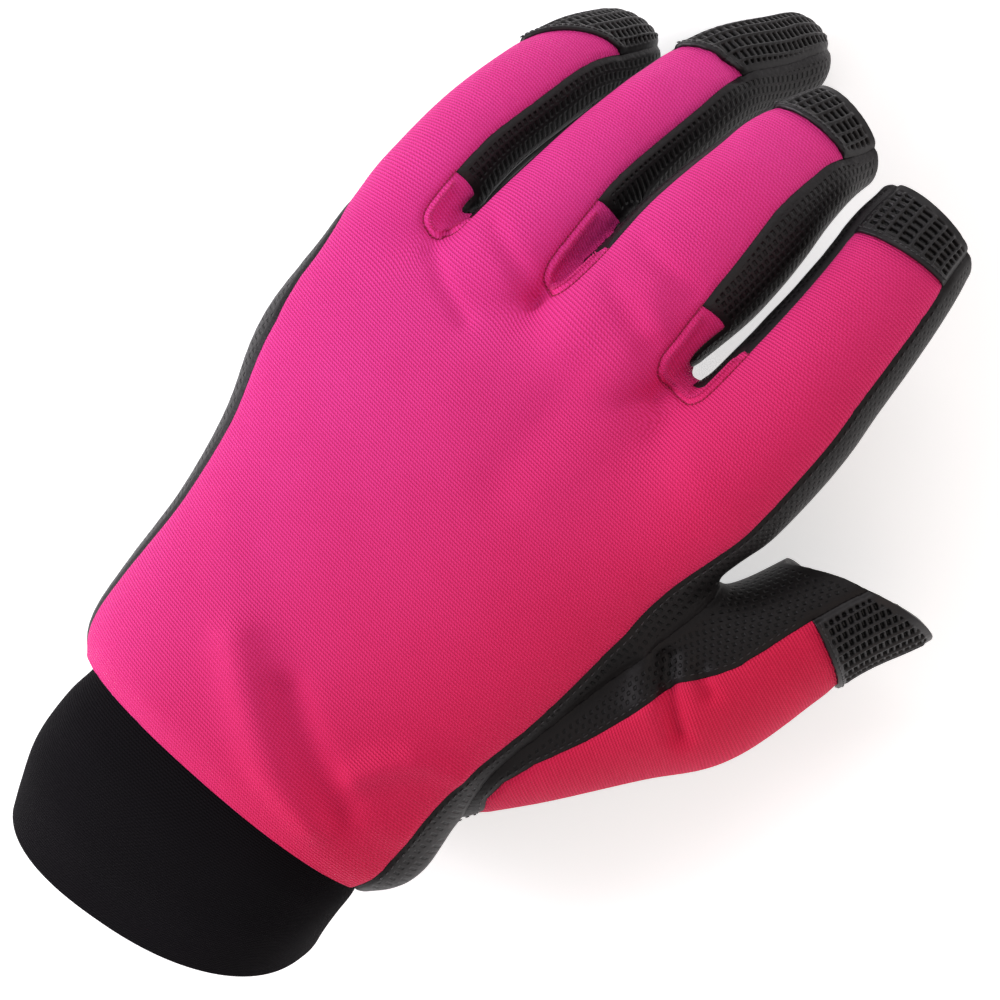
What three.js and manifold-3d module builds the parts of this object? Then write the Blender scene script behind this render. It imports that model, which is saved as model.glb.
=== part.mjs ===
// A left-hand fishing glove, hollow and open, in the form that the hand gives it.
// The thumb, index and middle fingers are cut off short of the tip; the ring and little fingers are closed.
// The stretch-knit back is one piece with the backs of four fingers. Perforated side strips and pink gussets
// join it to the palm, each finger ends in a capping band, and a knitted cuff goes round the wrist.
//
// Millimetres. +Z is the back of the hand, +Y runs towards the fingertips and +X towards the thumb.
// The origin is the centre of the cuff's mouth, where the wrist goes in.
import * as THREE from "three";
import Module from "manifold-3d";
import { mergeVertices } from "three/addons/utils/BufferGeometryUtils.js";

const wasm = await Module();
wasm.setup();

// Driving dimensions
const palmLength = 103;
const palmWidth = 98;
const palmDepth = 36;
const wallThickness = 1.5;
const pieceGap = 0.3;
const cuffLength = 30;
const cuffWidth = 61;
const cuffDepth = 43;
const cuffOverlap = 7;
const cuffDrop = 32;
const cuffSlack = 1;
const fingertipRadius = 9;
const gussetReach = 8.5;
const webReach = 4.5;

// How far the web of a gusset runs up and down from its crotch, as shares of a finger's half depth
const gussetTop = 0.72;
const gussetBottom = 0.5;

// Where one piece gives way to the next round a finger, in degrees from the middle of its back
const fingerBackEdge = 52;
const fingerPalmEdge = 112;
const thumbBackEdge = 62;
const palmRadialEdge = 63;
const palmUlnarEdge = 66;
const palmUnderEdge = 104;

// How far the room of each piece stands out past the surface while the shell is cut up
const cutterReach = 1.6;
const pastHem = 2;
const outerSideStart = 0.3;
const thumbSeamLip = 0.15;

// Facets
const fingerSides = 12;
const palmSides = 24;
const barrelSides = 10;
const wedgeFacetAngle = 13;
const tipRingAngles = [35, 65];
const radians = THREE.MathUtils.degToRad;

// Sections of the palm's outside, from the hem to the web between the fingers.
// along: share of palmLength; centre, width: shares of palmWidth; height, depth: shares of palmDepth;
// turn: degrees that its thumb side lies further on; square: exponent of its superellipse.
const palmRows = [
  { along: -0.045, centre: 0.01, width: 0.69, height: -0.12, depth: 1.22, turn: 4, square: 2.2 },
  { along: -0.01, centre: 0.008, width: 0.738, height: -0.11, depth: 1.3, turn: 4, square: 2.3 },
  { along: 0.11, centre: -0.006, width: 0.79, height: -0.11, depth: 1.24, turn: 2, square: 2.4 },
  { along: 0.27, centre: -0.012, width: 0.82, height: -0.1, depth: 1.1, turn: 1, square: 2.4 },
  { along: 0.42, centre: -0.018, width: 0.875, height: -0.08, depth: 1.04, turn: 1, square: 2.4 },
  { along: 0.58, centre: -0.036, width: 0.935, height: -0.06, depth: 0.98, turn: 2, square: 2.4 },
  { along: 0.76, centre: -0.05, width: 0.985, height: -0.05, depth: 0.88, turn: 4, square: 2.4 },
  { along: 0.88, centre: -0.05, width: 0.97, height: -0.07, depth: 0.76, turn: 5, square: 2.3 },
  { along: 0.955, centre: -0.05, width: 0.88, height: -0.1, depth: 0.56, turn: 6, square: 2.2 },
];

// The five fingers. root: where the first section sits, as shares of palmWidth, palmLength and palmDepth;
// length: in mm; width: share of palmWidth; depth: share of the width; lean: degrees that its back is
// tipped towards the thumb; cap: length in mm of the band over its tip; slant: how far an open end runs on
// along the back of the finger, as a share of its half depth. Each section gives forward, side and drop from
// the root as shares of length, and its girth as a share of width.
const fingers = [
  {
    name: "pinky", root: [-0.425, 0.7, -0.03], length: 90, width: 0.2194, depth: 0.9,
    lean: -20, cap: 26, closed: true, slant: 0,
    sections: [
      { forward: 0.0, side: 0.0, drop: 0.0, girth: 0.86 },
      { forward: 0.15, side: -0.02, drop: 0.025, girth: 1.03 },
      { forward: 0.31, side: -0.045, drop: 0.055, girth: 1.0 },
      { forward: 0.44, side: -0.06, drop: 0.11, girth: 0.97 },
      { forward: 0.57, side: -0.06, drop: 0.19, girth: 0.955 },
      { forward: 0.675, side: -0.055, drop: 0.285, girth: 0.95 },
      { forward: 0.745, side: -0.035, drop: 0.375, girth: 0.92 },
    ],
  },
  {
    name: "ring", root: [-0.225, 0.75, 0.0], length: 104, width: 0.2194, depth: 0.9,
    lean: -10, cap: 28, closed: true, slant: 0,
    sections: [
      { forward: 0.0, side: -0.005, drop: 0.0, girth: 0.88 },
      { forward: 0.15, side: -0.02, drop: 0.005, girth: 1.02 },
      { forward: 0.25, side: -0.03, drop: 0.025, girth: 1.0 },
      { forward: 0.35, side: -0.035, drop: 0.065, girth: 0.975 },
      { forward: 0.475, side: -0.04, drop: 0.13, girth: 0.965 },
      { forward: 0.6, side: -0.035, drop: 0.2, girth: 0.955 },
      { forward: 0.71, side: -0.03, drop: 0.28, girth: 0.95 },
      { forward: 0.79, side: 0.0, drop: 0.37, girth: 0.9 },
    ],
  },
  {
    name: "middle", root: [0.0, 0.77, 0.02], length: 86, width: 0.2653, depth: 0.9,
    lean: 0, cap: 9, closed: false, slant: 0.05,
    sections: [
      { forward: 0.0, side: 0.0, drop: -0.01, girth: 0.84 },
      { forward: 0.23, side: 0.003, drop: -0.01, girth: 1.02 },
      { forward: 0.37, side: 0.005, drop: 0.02, girth: 1.0 },
      { forward: 0.51, side: 0.0, drop: 0.06, girth: 0.965 },
      { forward: 0.65, side: 0.0, drop: 0.112, girth: 0.925 },
      { forward: 0.755, side: 0.0, drop: 0.165, girth: 0.885 },
      { forward: 0.83, side: 0.0, drop: 0.21, girth: 0.865 },
      { forward: 0.9, side: 0.01, drop: 0.262, girth: 0.8 },
    ],
  },
  {
    name: "index", root: [0.325, 0.73, 0.0], length: 90, width: 0.2806, depth: 0.88,
    lean: 6, cap: 10, closed: false, slant: 0.05,
    sections: [
      { forward: 0.0, side: 0.0, drop: 0.0, girth: 0.8 },
      { forward: 0.2, side: 0.0, drop: 0.005, girth: 1.03 },
      { forward: 0.43, side: -0.002, drop: 0.028, girth: 1.03 },
      { forward: 0.54, side: -0.012, drop: 0.05, girth: 0.97 },
      { forward: 0.65, side: -0.025, drop: 0.083, girth: 0.93 },
      { forward: 0.74, side: -0.04, drop: 0.117, girth: 0.9 },
      { forward: 0.83, side: -0.06, drop: 0.155, girth: 0.87 },
      { forward: 0.88, side: -0.068, drop: 0.18, girth: 0.81 },
    ],
  },
  {
    name: "thumb", root: [0.295, 0.2, -0.22], length: 90, width: 0.2806, depth: 0.9,
    lean: 68, cap: 13, closed: false, slant: 0.75,
    sections: [
      { forward: 0.0, side: 0.0, drop: 0.0, girth: 0.72 },
      { forward: 0.16, side: 0.09, drop: 0.01, girth: 0.84 },
      { forward: 0.375, side: 0.195, drop: 0.055, girth: 0.97 },
      { forward: 0.51, side: 0.265, drop: 0.085, girth: 1.02 },
      { forward: 0.625, side: 0.305, drop: 0.105, girth: 0.97 },
      { forward: 0.7, side: 0.33, drop: 0.12, girth: 0.93 },
      { forward: 0.79, side: 0.362, drop: 0.145, girth: 0.91 },
      { forward: 0.85, side: 0.385, drop: 0.165, girth: 0.9 },
    ],
  },
];

// The exponent of every finger's superellipse, and how late in the finger an open end's slant sets in
const fingerSquare = 2.15;
const slantPower = 6;

// Sections of the cuff's outside, from just below the hem to its mouth. along: share of cuffLength;
// bend: share of cuffDrop; sway, width: shares of cuffWidth; depth: share of cuffDepth.
const cuffRows = [
  { along: 0.22, bend: 0.35, sway: 0.0, width: 0.99, depth: 0.96, turn: 5, square: 2.2 },
  { along: 0.5, bend: 0.8, sway: 0.018, width: 0.98, depth: 0.97, turn: 6, square: 2.2 },
  { along: 0.8, bend: 1.0, sway: 0.035, width: 1.0, depth: 0.99, turn: 7, square: 2.2 },
  { along: 1.0, bend: 1.0, sway: 0.045, width: 1.02, depth: 1.01, turn: 7, square: 2.2 },
];

// Colours, as the photograph shows them
const pinkKnit = new THREE.MeshStandardMaterial({ color: 0xe9357f, roughness: 0.8, metalness: 0 });
const blackMesh = new THREE.MeshStandardMaterial({ color: 0x1b191b, roughness: 0.6, metalness: 0 });
const blackKnit = new THREE.MeshStandardMaterial({ color: 0x151417, roughness: 0.9, metalness: 0 });

// A point of a superellipse: phi is 0 at the back and 90 degrees towards the thumb.
function superellipse(phi, square) {
  const power = 2 / square;
  const s = Math.sin(phi);
  const c = Math.cos(phi);
  return { lateral: Math.sign(s) * Math.abs(s) ** power, dorsal: Math.sign(c) * Math.abs(c) ** power };
}

// Joins rings of equal size, and closes both ends on a centre point, into one closed mesh.
function loft(rings, startCentre, endCentre) {
  const size = rings[0].length;
  const points = rings.flat().concat([startCentre, endCentre]);
  const start = points.length - 2;
  const end = points.length - 1;
  const last = (rings.length - 1) * size;
  const index = [];
  for (let k = 0; k < size; k++) {
    const next = (k + 1) % size;
    for (let r = 0; r < rings.length - 1; r++) {
      const a = r * size;
      const b = a + size;
      index.push(a + k, b + next, b + k, a + k, a + next, b + next);
    }
    index.push(start, next, k, end, last + k, last + next);
  }
  return solidFrom(points, index);
}

// A closed mesh as a solid. One whose faces point inwards is turned the right way out.
function solidFrom(points, index) {
  const vertProperties = new Float32Array(points.flatMap((p) => [p.x, p.y, p.z]));
  const bodyOf = (corners) =>
    new wasm.Manifold(new wasm.Mesh({ numProp: 3, vertProperties, triVerts: new Uint32Array(corners) }));
  const solid = bodyOf(index);
  if (solid.volume() > 0) return solid;
  return bodyOf(index.map((v, i) => (i % 3 === 0 ? v : index[i % 3 === 1 ? i + 1 : i - 1])));
}

// A limb is a run of sections along a smooth curve. Its position q counts sections: 1.5 is half way from the
// second to the third. Before the first and past the last, q goes straight on in millimetres.
class Limb {
  constructor(centres, halves, lean, square, turns, fixedAxis = null) {
    this.curve = new THREE.CatmullRomCurve3(centres, false, "centripetal");
    this.halves = halves;
    this.lean = radians(lean);
    this.square = square;
    this.turns = turns;
    this.fixedAxis = fixedAxis;
    this.count = centres.length - 1;
  }

  // The section at q: its centre, its axes and its half sizes.
  section(q) {
    const t = THREE.MathUtils.clamp(q / this.count, 0, 1);
    const low = THREE.MathUtils.clamp(Math.floor(q), 0, this.count - 1);
    const share = THREE.MathUtils.clamp(q - low, 0, 1);
    const mix = (list) => THREE.MathUtils.lerp(list[low], list[low + 1], share);
    const along = this.fixedAxis ? this.fixedAxis.clone() : this.curve.getTangent(t).normalize();
    const back = new THREE.Vector3(Math.sin(this.lean), 0, Math.cos(this.lean));
    const side = along.clone().cross(back).normalize();
    const up = side.clone().cross(along);
    const turn = mix(this.turns);
    side.applyAxisAngle(up, radians(turn));
    const past = Math.max(0, q - this.count) + Math.min(0, q);
    const centre = this.curve.getPoint(t).addScaledVector(along, past);
    return {
      centre, along, side, up,
      halfWidth: mix(this.halves.map((h) => h[0])),
      halfDepth: mix(this.halves.map((h) => h[1])),
      square: mix(this.square),
    };
  }

  // The angles of a full ring.
  static angles(sides) {
    return Array.from({ length: sides }, (_, k) => (2 * Math.PI * k) / sides);
  }

  // A ring of points at q, grown outwards, with its end slanted along the back.
  ring(q, grow, phis, slant = 0) {
    const s = this.section(q);
    return phis.map((phi) => {
      const unit = superellipse(phi, s.square);
      const dorsal = (s.halfDepth + grow) * unit.dorsal;
      return s.centre.clone()
        .addScaledVector(s.side, (s.halfWidth + grow) * unit.lateral)
        .addScaledVector(s.up, dorsal)
        .addScaledVector(s.along, slant * dorsal);
    });
  }
}

// Evenly spaced positions from one section to another.
function positions(from, to, steps) {
  return Array.from({ length: steps + 1 }, (_, k) => THREE.MathUtils.lerp(from, to, k / steps));
}

// The palm as a limb. Its sections lie across the glove, each turned in the plane of the palm.
const palm = new Limb(
  palmRows.map((r) => new THREE.Vector3(r.centre * palmWidth, r.along * palmLength, r.height * palmDepth)),
  palmRows.map((r) => [(r.width * palmWidth) / 2, (r.depth * palmDepth) / 2]),
  0,
  palmRows.map((r) => r.square),
  palmRows.map((r) => r.turn),
  new THREE.Vector3(0, 1, 0),
);

function fingerLimb(f) {
  const [x, y, z] = f.root;
  const root = new THREE.Vector3(x * palmWidth, y * palmLength, z * palmDepth);
  const centres = f.sections.map((s) =>
    root.clone().add(new THREE.Vector3(s.side, s.forward, -s.drop).multiplyScalar(f.length)));
  const width = f.width * palmWidth;
  const halves = f.sections.map((s) => [(s.girth * width) / 2, (s.girth * width * f.depth) / 2]);
  return new Limb(centres, halves, f.lean, centres.map(() => fingerSquare), centres.map(() => 0));
}

// The outside of a finger, or with a negative grow the hollow inside it.
function fingerForm(f, limb, grow) {
  const phis = Limb.angles(fingerSides);
  const stations = [0, ...positions(0.5, limb.count - 0.5, limb.count - 2), limb.count];
  const end = limb.section(limb.count);
  if (!f.closed) {
    const past = grow < 0 ? wallThickness : 0;
    const rings = stations.map((q) => limb.ring(q, grow, phis, f.slant * (q / limb.count) ** slantPower));
    if (past) rings.push(limb.ring(limb.count + past, grow, phis, f.slant));
    return loft(rings, limb.section(0).centre, end.centre.clone().addScaledVector(end.along, past));
  }
  // The closed tip is rounded off by rings that shrink along a quarter circle.
  const rings = stations.map((q) => limb.ring(q, grow, phis));
  const tip = fingertipRadius + grow;
  for (const angle of tipRingAngles) {
    const shrink = (1 - Math.cos(radians(angle))) * (end.halfWidth + grow);
    rings.push(limb.ring(limb.count + tip * Math.sin(radians(angle)), grow - shrink, phis));
  }
  return loft(rings, limb.section(0).centre, end.centre.clone().addScaledVector(end.along, tip));
}

// The outside of the palm, or the hollow inside it, which runs out through the hem.
function palmForm(grow) {
  const phis = Limb.angles(palmSides);
  const stations = [0, ...positions(0.5, palm.count - 0.5, palm.count - 1), palm.count];
  const rings = stations.map((q) => palm.ring(q, grow, phis));
  const hem = palm.section(0);
  const web = palm.section(palm.count);
  const startCentre = hem.centre.clone();
  if (grow < 0) {
    const outside = hem.along.clone().multiplyScalar(-2 * pastHem - wallThickness);
    rings.unshift(rings[0].map((p) => p.clone().add(outside)));
    startCentre.add(outside);
    const inside = web.along.clone().multiplyScalar(grow);
    rings[rings.length - 1].forEach((p) => p.add(inside));
    return loft(rings, startCentre, web.centre.clone().add(inside));
  }
  return loft(rings, startCentre, web.centre.clone());
}

// A wedge of a limb between two angles in degrees and two positions, grown on every side: what it holds of
// the shell is one piece of cloth.
function wedge(limb, fromQ, toQ, fromAngle, toAngle, grow) {
  const facets = Math.ceil((toAngle - fromAngle) / wedgeFacetAngle);
  const unit = superellipse(radians(fromAngle + toAngle) / 2, 2);
  const inner = positions(0, limb.count, limb.count).filter((q) => q > fromQ + 0.3 && q < toQ);
  const rings = [fromQ, ...inner, toQ].map((q) => {
    const s = limb.section(q);
    const widen = grow / Math.min(s.halfWidth, s.halfDepth);
    const phis = positions(radians(fromAngle) - widen, radians(toAngle) + widen, facets);
    const apex = s.centre.clone()
      .addScaledVector(s.side, -grow * unit.lateral)
      .addScaledVector(s.up, -grow * unit.dorsal);
    return [apex, ...limb.ring(q, cutterReach + grow, phis)];
  });
  rings[0].forEach((p) => p.addScaledVector(limb.section(fromQ).along, -grow));
  rings[rings.length - 1].forEach((p) => p.addScaledVector(limb.section(toQ).along, grow));
  return loft(rings, rings[0][0].clone(), rings[rings.length - 1][0].clone());
}

// A stretch of a limb all the way round, out past its surface.
function sleeve(limb, fromQ, toQ, grow) {
  const rings = [...positions(fromQ, limb.count, limb.count), toQ]
    .map((q) => limb.ring(q, cutterReach + grow, Limb.angles(fingerSides)));
  rings[0].forEach((p) => p.addScaledVector(limb.section(fromQ).along, -grow));
  return loft(rings, limb.section(fromQ).centre, limb.section(toQ).centre);
}

// The whole outside and the whole hollow
const limbs = Object.fromEntries(fingers.map((f) => [f.name, fingerLimb(f)]));
const unite = (solids) => solids.reduce((sum, solid) => sum.add(solid));
const fingerForms = (grow) => fingers.map((f) => fingerForm(f, limbs[f.name], grow));
const wholeForm = (grow) => unite([palmForm(grow), ...fingerForms(grow)]);
const shell = wholeForm(0).subtract(wholeForm(-wallThickness));

// The crotch between two neighbouring fingers: the first place, going out along both, where their sides part,
// or the end of the palm where that lies further out.
function crotch(left, right) {
  const sideOf = (limb, q, sign) => {
    const s = limb.section(q);
    return s.centre.clone().addScaledVector(s.side, sign * s.halfWidth);
  };
  const web = palm.section(palm.count);
  const tries = positions(0.3, 4, 120);
  for (const q of tries) {
    const a = sideOf(left, q, 1);
    const facing = tries.map((r) => sideOf(right, r, -1));
    const b = facing.reduce((best, p) => (Math.abs(p.y - a.y) < Math.abs(best.y - a.y) ? p : best));
    const webEnd = web.centre.y + ((a.x - web.centre.x) * web.side.y) / web.side.x;
    if (b.x > a.x && a.y > webEnd) return a.add(b).multiplyScalar(0.5);
  }
  throw new Error("two neighbouring fingers never part");
}

const fingerOrder = ["pinky", "ring", "middle", "index"];
const crotches = fingerOrder.slice(1).map((name, k) => crotch(limbs[fingerOrder[k]], limbs[name]));

// The position on a limb whose section lies a given distance short of its end.
function shortOfEnd(limb, distance) {
  const end = limb.section(limb.count).centre;
  let q = limb.count;
  while (limb.section(q).centre.distanceTo(end) < distance) q -= 0.02;
  return q;
}

// The position on a finger that is level with a given y.
const levelWith = (limb, y) => positions(0, limb.count, 200).find((q) => limb.section(q).centre.y > y);

// Cutters: each gives, for a growth, the room that a piece takes of the shell.
const pastTip = fingertipRadius + 2 * cutterReach;
const capCutter = (f, backEdge) => (grow) => {
  const limb = limbs[f.name];
  const start = shortOfEnd(limb, f.closed ? f.cap - fingertipRadius : f.cap);
  return wedge(limb, start, limb.count + pastTip, -backEdge, backEdge, grow);
};
const sideWedge = (name, sign, start, grow) => {
  const limb = limbs[name];
  const [from, to] = sign > 0 ? [fingerBackEdge, fingerPalmEdge] : [-fingerPalmEdge, -fingerBackEdge];
  return wedge(limb, start, limb.count + pastTip, from, to, grow);
};
const innerSideStart = (limb) => levelWith(limb, Math.min(...crotches.map((c) => c.y)));
const sideCutter = (name, sign) => (grow) => sideWedge(name, sign, innerSideStart(limbs[name]), grow);
const barrel = (x, y, bottom, top, radius) => solidOf(
  new THREE.CylinderGeometry(radius, radius, top - bottom, barrelSides)
    .rotateX(Math.PI / 2)
    .translate(x, y, (top + bottom) / 2));
const gussetCutter = (point, left, right) => (grow) => {
  const depth = limbs[left].section(1).halfDepth;
  const top = point.z + gussetTop * depth + grow;
  const bottom = point.z - gussetBottom * depth - grow;
  const web = barrel(point.x, point.y, bottom, top, webReach + grow);
  const reach = barrel(point.x, point.y + gussetReach - webReach, -palmDepth, palmDepth, gussetReach + grow);
  return unite([web, sideWedge(left, 1, outerSideStart, grow), sideWedge(right, -1, outerSideStart, grow)])
    .intersect(reach);
};
const abovePalm = (solid, grow) => solid.subtract(palmForm(thumbSeamLip + pieceGap - grow));
const thumbEnd = limbs.thumb.count + pastTip;
const thumbRoom = (grow) => abovePalm(sleeve(limbs.thumb, 0, thumbEnd, grow), grow);
const thumbBackCutter = (grow) =>
  abovePalm(wedge(limbs.thumb, 0, thumbEnd, -thumbBackEdge, thumbBackEdge, grow), grow);
const ulnarCutter = (grow) => wedge(palm, -pastHem, palm.count - 1, -palmUnderEdge, -palmUlnarEdge, grow)
  .add(sideWedge("pinky", -1, outerSideStart, grow));
const radialCutter = (grow) => wedge(palm, -pastHem, palm.count - 1, palmRadialEdge, palmUnderEdge, grow)
  .add(sideWedge("index", 1, outerSideStart, grow));
const underCutter = (grow) => unite([
  wedge(palm, -pastHem, palm.count + cutterReach, palmUnderEdge, 360 - palmUnderEdge, grow),
  ...fingerOrder.map((name) =>
    wedge(limbs[name], 0, limbs[name].count + pastTip, fingerPalmEdge, 360 - fingerPalmEdge, grow)),
]);

// The largest body of a solid: the crumbs that a cut leaves are dropped.
function largest(solid) {
  return solid.decompose().reduce((best, part) => (part.volume() > best.volume() ? part : best));
}

// The pieces of the shell in the order in which they take their room; the back has what is left.
const everywhere = () => wholeForm(cutterReach);
const cutPieces = [
  ...fingers.map((f) => ({
    name: `${f.name}_cap`, material: blackMesh,
    cutter: capCutter(f, f.name === "thumb" ? thumbBackEdge : fingerBackEdge),
  })),
  ...crotches.map((point, k) => ({
    name: `${fingerOrder[k]}_${fingerOrder[k + 1]}_gusset`, material: pinkKnit,
    cutter: gussetCutter(point, fingerOrder[k], fingerOrder[k + 1]),
  })),
  { name: "thumb_back", material: pinkKnit, cutter: thumbBackCutter },
  { name: "thumb_palm", material: blackMesh, cutter: thumbRoom },
  { name: "pinky_inner_side", material: blackMesh, cutter: sideCutter("pinky", 1) },
  { name: "ring_outer_side", material: blackMesh, cutter: sideCutter("ring", -1) },
  { name: "ring_inner_side", material: blackMesh, cutter: sideCutter("ring", 1) },
  { name: "middle_outer_side", material: blackMesh, cutter: sideCutter("middle", -1) },
  { name: "middle_inner_side", material: blackMesh, cutter: sideCutter("middle", 1) },
  { name: "index_outer_side", material: blackMesh, cutter: sideCutter("index", -1) },
  { name: "ulnar_side_strip", material: blackMesh, cutter: ulnarCutter },
  { name: "radial_side_strip", material: blackMesh, cutter: radialCutter },
  { name: "palm_panel", material: blackMesh, cutter: underCutter },
  { name: "back_panel", material: pinkKnit, cutter: everywhere },
];

// A three.js geometry as a solid.
function solidOf(geometry) {
  const bare = geometry.clone();
  bare.deleteAttribute("normal");
  bare.deleteAttribute("uv");
  const merged = mergeVertices(bare, 1e-4);
  const position = merged.getAttribute("position");
  const points = Array.from({ length: position.count }, (_, k) =>
    new THREE.Vector3().fromBufferAttribute(position, k));
  return solidFrom(points, Array.from(merged.index.array));
}

function meshOf(name, solid, material) {
  const { numProp, vertProperties, triVerts } = solid.getMesh();
  const geometry = new THREE.BufferGeometry();
  geometry.setAttribute("position", new THREE.InterleavedBufferAttribute(
    new THREE.InterleavedBuffer(vertProperties, numProp), 3, 0));
  geometry.setIndex(new THREE.BufferAttribute(triVerts, 1));
  const mesh = new THREE.Mesh(geometry, material);
  mesh.name = name;
  return mesh;
}

// The cuff: tucked inside the hem it follows the palm's hollow, and below it it bends down with the wrist.
const hem = palm.section(0);
const cuffDirection = (bend) => new THREE.Vector3(0, -Math.cos(radians(bend)), -Math.sin(radians(bend)));
const cuffSections = [];
let cuffEnd = { centre: hem.centre, along: 0, bend: 0, sway: 0 };
for (const row of cuffRows) {
  const bend = row.bend * cuffDrop;
  const step = cuffDirection((cuffEnd.bend + bend) / 2)
    .multiplyScalar((row.along - cuffEnd.along) * cuffLength);
  step.x = (row.sway - cuffEnd.sway) * cuffWidth;
  const centre = cuffEnd.centre.clone().add(step);
  const along = cuffDirection(bend);
  const up = along.clone().cross(new THREE.Vector3(1, 0, 0));
  const side = new THREE.Vector3(1, 0, 0).applyAxisAngle(up, radians(row.turn));
  cuffSections.push({ row, centre, side, up });
  cuffEnd = { centre, along: row.along, bend, sway: row.sway };
}
const mouthCentre = cuffEnd.centre;

function cuffForm(grow) {
  const phis = Limb.angles(palmSides);
  const tuckedEnd = levelWith(palm, hem.centre.y + cuffOverlap);
  const inHem = grow - wallThickness - pieceGap;
  const tucked = [palm.ring(tuckedEnd, inHem - cuffSlack, phis), palm.ring(0, inHem, phis)];
  const free = cuffSections.map(({ row, centre, side, up }) => phis.map((phi) => {
    const unit = superellipse(phi, row.square);
    return centre.clone()
      .addScaledVector(side, ((row.width * cuffWidth) / 2 + grow) * unit.lateral)
      .addScaledVector(up, ((row.depth * cuffDepth) / 2 + grow) * unit.dorsal);
  }));
  const rings = [...tucked, ...free];
  const inner = palm.section(tuckedEnd).centre.clone();
  if (grow === 0) return loft(rings, inner, mouthCentre.clone());
  const beyond = hem.along.clone().multiplyScalar(wallThickness);
  const out = cuffDirection(cuffDrop).multiplyScalar(wallThickness);
  const before = rings[0].map((p) => p.clone().add(beyond));
  const after = rings[rings.length - 1].map((p) => p.clone().add(out));
  return loft([before, ...rings, after], inner.add(beyond), mouthCentre.clone().add(out));
}

const glove = new THREE.Group();
const taken = [];
for (const { name, material, cutter } of cutPieces) {
  let room = shell.intersect(cutter(0));
  for (const earlier of taken) room = room.subtract(earlier);
  glove.add(meshOf(name, largest(room), material));
  taken.push(cutter(pieceGap));
}
glove.add(meshOf("cuff", cuffForm(0).subtract(cuffForm(-wallThickness)), blackKnit));
glove.position.copy(mouthCentre).negate();

export default glove;
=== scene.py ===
# %% [markdown]
# # A three-cut fishing glove
# A left-hand glove in the form that the hand gives it. Its back is one piece of pink stretch knit, its palm
# and the sides of its fingers are black perforated cloth, and a black knitted cuff goes round the wrist.
# The thumb, the index and the middle finger are cut off short of the tip. The other two are closed.
#
# The frame that the CAD model gives is loaded first. Its box is kept, because the finished glove may only
# stand a little proud of it.

# %% Load the frame
import math
import bpy
import numpy as np
from mathutils import Matrix, Vector
from mathutils.kdtree import KDTree


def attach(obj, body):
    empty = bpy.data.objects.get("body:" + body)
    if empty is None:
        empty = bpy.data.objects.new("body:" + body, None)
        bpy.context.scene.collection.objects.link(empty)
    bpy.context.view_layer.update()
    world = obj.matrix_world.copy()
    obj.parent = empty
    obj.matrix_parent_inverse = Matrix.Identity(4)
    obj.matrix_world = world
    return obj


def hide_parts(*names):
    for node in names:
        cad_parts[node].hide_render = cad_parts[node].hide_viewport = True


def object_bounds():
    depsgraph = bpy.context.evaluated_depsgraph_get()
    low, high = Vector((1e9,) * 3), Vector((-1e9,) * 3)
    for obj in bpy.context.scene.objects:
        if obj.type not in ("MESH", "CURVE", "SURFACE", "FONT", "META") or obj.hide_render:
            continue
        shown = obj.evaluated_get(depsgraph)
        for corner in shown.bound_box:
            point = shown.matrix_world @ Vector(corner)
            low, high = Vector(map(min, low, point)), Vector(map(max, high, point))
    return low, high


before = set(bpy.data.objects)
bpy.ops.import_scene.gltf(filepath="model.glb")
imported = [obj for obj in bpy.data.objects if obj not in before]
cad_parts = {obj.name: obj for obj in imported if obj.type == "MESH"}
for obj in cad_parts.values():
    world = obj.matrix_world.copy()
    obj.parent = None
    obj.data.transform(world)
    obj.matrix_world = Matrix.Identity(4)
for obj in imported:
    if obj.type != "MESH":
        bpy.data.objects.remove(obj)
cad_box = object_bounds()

print("CAD nodes:", len(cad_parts))

# %% [markdown]
# ## The camera, the floor and the light
# The picture looks down on the back of the hand, a little from the fingers' side, and the hand lies along the
# diagonal. The camera is placed by the angles that it was fitted with, and it aims at the knuckles. A window
# on the left gives the main light and two weaker lights fill the shade. The floor glows a little, so that it
# stays pale where the glove shades it.

# %% Camera, floor and light
VIEW_TURN = math.radians(12)
VIEW_LIFT = math.radians(8)
VIEW_ROLL = math.radians(47.3)
VIEW_DISTANCE = 0.6
PICTURE_ANGLE = 2 * math.atan(500 / 3300)
AIM = Vector((0.001275, 0.099649, 0.015131))
FLOOR_DROP = 0.0012
FLOOR_REACH = 3.0
FLOOR_GLOW = 0.5

# Each light: its name, its place and its width in metres, its power and its tint
LIGHTS = [
    ("window", (-0.66, -0.52, 0.6), 0.55, 10.0, (0.97, 0.93, 1.0)),
    ("skylight", (-0.3, 0.95, 0.75), 0.7, 2.8, (1.0, 0.95, 0.97)),
    ("fill", (0.8, 0.3, 0.9), 1.0, 2.6, (1.0, 0.72, 0.6)),
]
WORLD_STRENGTH = 0.5


def place_camera():
    """A camera that looks down on the back of the hand."""
    towards = Vector((math.sin(VIEW_TURN) * math.cos(VIEW_LIFT), math.sin(VIEW_LIFT),
                      math.cos(VIEW_TURN) * math.cos(VIEW_LIFT)))
    up_hand = (Vector((0, 1, 0)) - towards * towards.y).normalized()
    across = towards.cross(up_hand)
    right = up_hand * math.cos(VIEW_ROLL) - across * math.sin(VIEW_ROLL)
    up = towards.cross(right)
    data = bpy.data.cameras.new("camera")
    data.sensor_fit = "AUTO"
    data.sensor_width = 36
    data.lens = data.sensor_width / 2 / math.tan(PICTURE_ANGLE / 2)
    data.clip_start = 0.01
    data.clip_end = 20
    camera = bpy.data.objects.new("camera", data)
    turn = Matrix((right, up, towards)).transposed().to_4x4()
    camera.matrix_world = Matrix.Translation(AIM + towards * VIEW_DISTANCE) @ turn
    bpy.context.scene.collection.objects.link(camera)
    bpy.context.scene.camera = camera
    return camera


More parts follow.
